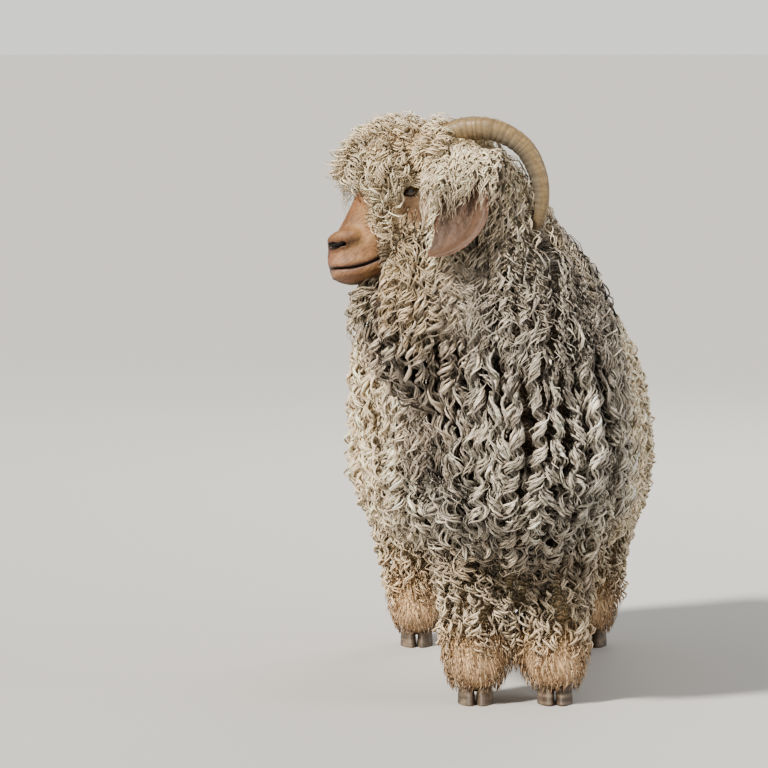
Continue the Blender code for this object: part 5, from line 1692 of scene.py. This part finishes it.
# a few thin, wavy locks hang over the face of each ear
for side, label in ((1, "right"), (-1, "left")):
    r = np.random.default_rng(110 + side)
    n = 26
    u = (np.arange(n) + r.uniform(0.1, 0.9, n)) / n
    x0 = mix(-0.078, -0.022, u)
    y = lambda d: MY + side * (d + 0.003 * r.random(n))
    ctrl = np.stack([
        np.stack([x0 * 0.9, y(0.024), 0.694 + 0 * u], 1),
        np.stack([x0, y(0.042), 0.698 + 0 * u], 1),
        np.stack([x0 - 0.002, y(0.062), 0.688 + 0 * u], 1),
        np.stack([x0 - 0.005, y(0.081), 0.668 + 0 * u], 1),
        np.stack([x0 - 0.010, y(0.096), 0.641 + 0 * u], 1),
        np.stack([x0 - 0.016, y(0.106), 0.612 + 0 * u], 1),
    ], 1)
    m = 32
    sched = schedule_of(4, m, 0.22)
    path = threaded(ctrl, sched, r.uniform(0.70, 1.0, n))
    path, group = tufted(path, sched, path[:, 12].copy(), 0.012, 0.5, 112 + side)
    out = unit(np.stack([-0.1 * np.ones((n, m)), side * np.ones((n, m)), 0.25 * np.ones((n, m))], -1))
    root = path[:, 0].copy()
    build_locks(
        f"fleece_over_ear_{label}", path, out, sched, root, crown_wool, head_uv, 114 + side, length=0.12, pitch=r.uniform(0.018, 0.028, n),
        radius=r.uniform(0.0016, 0.0030, n), size=r.uniform(0.75, 1.1, n), root_share=0.22,
        plies=[body_ply(3, 0.0028, 0.0019), body_ply(3, 0.0020, 0.0015, place=0.8, loose=0.3, start=0.2, ring=1.3)],
        colour=np.repeat(mix(CREAM, WARM, 0.15)[None], n, 0), tail_taper=0.45, blunt=0.15, soft=0.6,
    )

# the forelock's far side, hanging past the bridge
r = np.random.default_rng(91)
n = 34
u = (np.arange(n) + r.uniform(0.1, 0.9, n)) / n
out_by = r.uniform(0, 1, n)
top_x, top_y = mix(-0.200, -0.150, u), MY + 0.012 + 0.030 * u
ctrl = np.stack([
    np.stack([top_x + 0.016, top_y - 0.004, 0.688 + 0 * u], 1),
    np.stack([top_x - 0.004, top_y + 0.002, 0.700 + 0 * u], 1),
    np.stack([top_x - 0.018 - 0.004 * out_by, top_y + 0.004, 0.686 + 0 * u], 1),
    np.stack([top_x - 0.023 - 0.004 * out_by, top_y + 0.007, 0.662 + 0 * u], 1),
    np.stack([top_x - 0.023 - 0.003 * out_by, top_y + 0.009, 0.638 + 0 * u], 1),
    np.stack([top_x - 0.021 - 0.002 * out_by, top_y + 0.010, 0.612 + 0 * u], 1),
], 1)
m = 30
sched = schedule_of(4, m, 0.22)
path = threaded(ctrl, sched, mix(0.66, 1.0, r.random(n)))
out = unit(np.stack([-0.8 * np.ones((n, m)), 0.5 * np.ones((n, m)), 0.2 * np.ones((n, m))], -1))
root = path[:, 0].copy()
build_locks(
    "fleece_forelock", path, out, sched, root, crown_wool, head_uv, 92, length=0.095, pitch=r.uniform(0.013, 0.019, n),
    radius=r.uniform(0.0020, 0.0036, n), size=r.uniform(0.6, 0.9, n), root_share=0.22,
    plies=[body_ply(3, 0.0026, 0.0018), body_ply(3, 0.0020, 0.0015, place=0.8, loose=0.4, start=0.2, ring=1.3), stray_ply(ring=1.8, start=0.4, w=0.0012)],
    colour=np.repeat(CREAM[None], n, 0), tail_taper=0.45, blunt=0.15, soft=0.7,
)

# the brow's locks, over the upper lids and down beside the eyes
for side, label in ((1, "right"), (-1, "left")):
    r = np.random.default_rng(101 + side)
    n = 30
    dx = mix(-0.024, 0.020, (np.arange(n) + r.uniform(0.1, 0.9, n)) / n)
    over = np.abs(dx + 0.001) < 0.0085
    x = EYES[side][0] + dx
    sway = r.normal(size=n) * 0.002 + 0.10 * dx
    y = lambda d: MY + side * (d + 0.0015 * r.normal(size=n))
    ctrl = np.stack([
        np.stack([x + 0.004, y(0.028), 0.680 + 0 * x], 1),
        np.stack([x + 0.002, y(0.041), 0.675 + 0 * x], 1),
        np.stack([x, y(0.0505), 0.667 + 0 * x], 1),
        np.stack([x + sway * 0.4, y(0.0535), 0.658 + 0 * x], 1),
        np.stack([x + sway, y(0.0535), 0.647 + 0 * x], 1),
        np.stack([x + sway * 1.6, y(0.0520), 0.632 + 0 * x], 1),
    ], 1)
    m = 24
    sched = schedule_of(4, m, 0.22)
    path = threaded(ctrl, sched, np.where(over, r.uniform(0.56, 0.70, n), r.uniform(0.78, 1.0, n)))
    out = unit(np.stack([-0.1 * np.ones((n, m)), side * np.ones((n, m)), 0.1 * np.ones((n, m))], -1))
    root = path[:, 0].copy()
    build_locks(
        f"fleece_brow_{label}", path, out, sched, root, crown_wool, head_uv, 103 + side, length=0.05, pitch=r.uniform(0.013, 0.019, n),
        radius=r.uniform(0.0014, 0.0026, n), size=r.uniform(0.7, 1.0, n), root_share=0.22,
        plies=[body_ply(3, 0.0024, 0.0017), body_ply(3, 0.0018, 0.0014, place=0.8, loose=0.4, start=0.2, ring=1.2)],
        colour=np.repeat(mix(CREAM, WARM, 0.25)[None], n, 0), tail_taper=0.40, blunt=0.15, soft=0.7,
    )

# wool that hangs from under the jaw, in front of the throat
r = np.random.default_rng(95)
n = 64
u = r.uniform(0, 1, n)
across = r.uniform(-1, 1, n)
x0 = mix(-0.197, -0.160, u)
y = lambda d: MY + across * d
ctrl = np.stack([
    np.stack([x0 + 0.014, y(0.012), 0.546 + 0 * u], 1),
    np.stack([x0 + 0.004, y(0.014), 0.534 + 0 * u], 1),
    np.stack([x0 - 0.006, y(0.018), 0.518 + 0.006 * u], 1),
    np.stack([x0 - 0.011, y(0.023), 0.496 + 0.006 * u], 1),
    np.stack([x0 - 0.011, y(0.027), 0.472 + 0.006 * u], 1),
    np.stack([x0 - 0.004, y(0.028), 0.448 + 0.006 * u], 1),
], 1)
m = 28
sched = schedule_of(4, m, 0.20)
path = threaded(ctrl, sched, mix(0.60, 1.0, r.random(n)))
path, group = tufted(path, sched, path[:, 8].copy(), 0.013, 0.45, 96)
out = unit(np.stack([-0.5 * np.ones((n, m)), np.repeat(across[:, None], m, 1), 0.0 * np.ones((n, m))], -1))
root = path[:, 0].copy()
build_locks(
    "fleece_beard", path, out, sched, root, wool, neck_uv, 97, length=0.10, pitch=r.uniform(0.020, 0.030, n), radius=r.uniform(0.0022, 0.0042, n),
    size=r.uniform(0.7, 1.05, n), root_share=0.20, plies=[body_ply(3, 0.0038, 0.0028, place=-0.2), body_ply(3, 0.0028, 0.0020, place=0.8, out=0.3, loose=0.4, start=0.2, ring=1.2)],
    colour=mix(CREAM * 0.95, DIRT_AND_SHADE, r.uniform(0.0, 0.55, (n, 1))), tail_taper=0.30, blunt=0.2, vary=0.16, step=in_step(path, sched, group, lambda z: 0.026 + 0 * z, 0.8, 98),
)

print("locks", TALLY, "triangles", sum(t[2] for t in TALLY), "skin", 2 * len(skin_q), len(skin_v))

# ------------------------------------------------------------------ stage
floor_mesh = bpy.data.meshes.new("floor")
floor_mesh.from_pydata([(-400.0, -400.0, 0.0), (400.0, -400.0, 0.0), (400.0, 400.0, 0.0), (-400.0, 400.0, 0.0)], [], [(0, 1, 2, 3)])
floor = bpy.data.objects.new("floor", floor_mesh)
bpy.context.scene.collection.objects.link(floor)
n_ = Nodes("floor")
n_.set(Base_Color=(0.52, 0.51, 0.495, 1.0), Roughness=0.85)
floor_mesh.materials.append(n_.mat)

world = bpy.data.worlds.new("studio")
bpy.context.scene.world = world
world.use_nodes = True
tree = world.node_tree
sky = tree.nodes["Background"]
# paler towards the horizon, where it meets the floor
level = tree.nodes.new("ShaderNodeTexCoord").outputs["Generated"]
split_sky = tree.nodes.new("ShaderNodeSeparateXYZ")
tree.links.new(level, split_sky.inputs[0])
rise = tree.nodes.new("ShaderNodeMapRange")
rise.interpolation_type = "SMOOTHSTEP"
tree.links.new(split_sky.outputs[2], rise.inputs["Value"])
for key, value in (("From Min", 0.02), ("From Max", 0.34), ("To Min", 0.91), ("To Max", 0.40)):
    rise.inputs[key].default_value = value
tree.links.new(rise.outputs[0], sky.inputs[1])
sky.inputs[0].default_value = (0.97, 0.96, 0.94, 1.0)


def area_light(name, at, aim, size, power, colour):
    data = bpy.data.lights.new(name, "AREA")
    data.shape, data.size, data.size_y = "RECTANGLE", size[0], size[1]
    data.energy, data.color = power, colour
    obj = bpy.data.objects.new(name, data)
    obj.location = at
    obj.rotation_euler = (Vector(aim) - Vector(at)).to_track_quat("-Z", "Y").to_euler()
    bpy.context.scene.collection.objects.link(obj)


sun = bpy.data.lights.new("key", "SUN")
sun.energy, sun.angle, sun.color = 5.4, math.radians(8), (1.0, 0.955, 0.885)
key = bpy.data.objects.new("key", sun)
key.rotation_euler = (-Vector((-0.62, -0.66, 0.80))).to_track_quat("-Z", "Y").to_euler()
bpy.context.scene.collection.objects.link(key)
area_light("fill", (3.4, -1.2, 1.6), (0.0, 0.1, 0.35), (2.6, 2.2), 50.0, (0.96, 0.98, 1.0))
area_light("back", (1.2, 3.4, 2.6), (0.0, 0.1, 0.4), (2.0, 1.5), 45.0, (1.0, 0.98, 0.95))

cam_data = bpy.data.cameras.new("camera")
cam = bpy.data.objects.new("camera", cam_data)
bpy.context.scene.collection.objects.link(cam)
cam_data.sensor_width, cam_data.lens = 36.0, 206.25
cam_data.clip_end = 1000.0
cam.location = (-0.165 + OFF[0], -5.5 + OFF[1], 0.825)
cam.rotation_euler = (math.pi / 2 - math.radians(4.4), 0, 0)
bpy.context.scene.camera = cam
bpy.context.scene.view_settings.look = "AgX - Medium High Contrast"
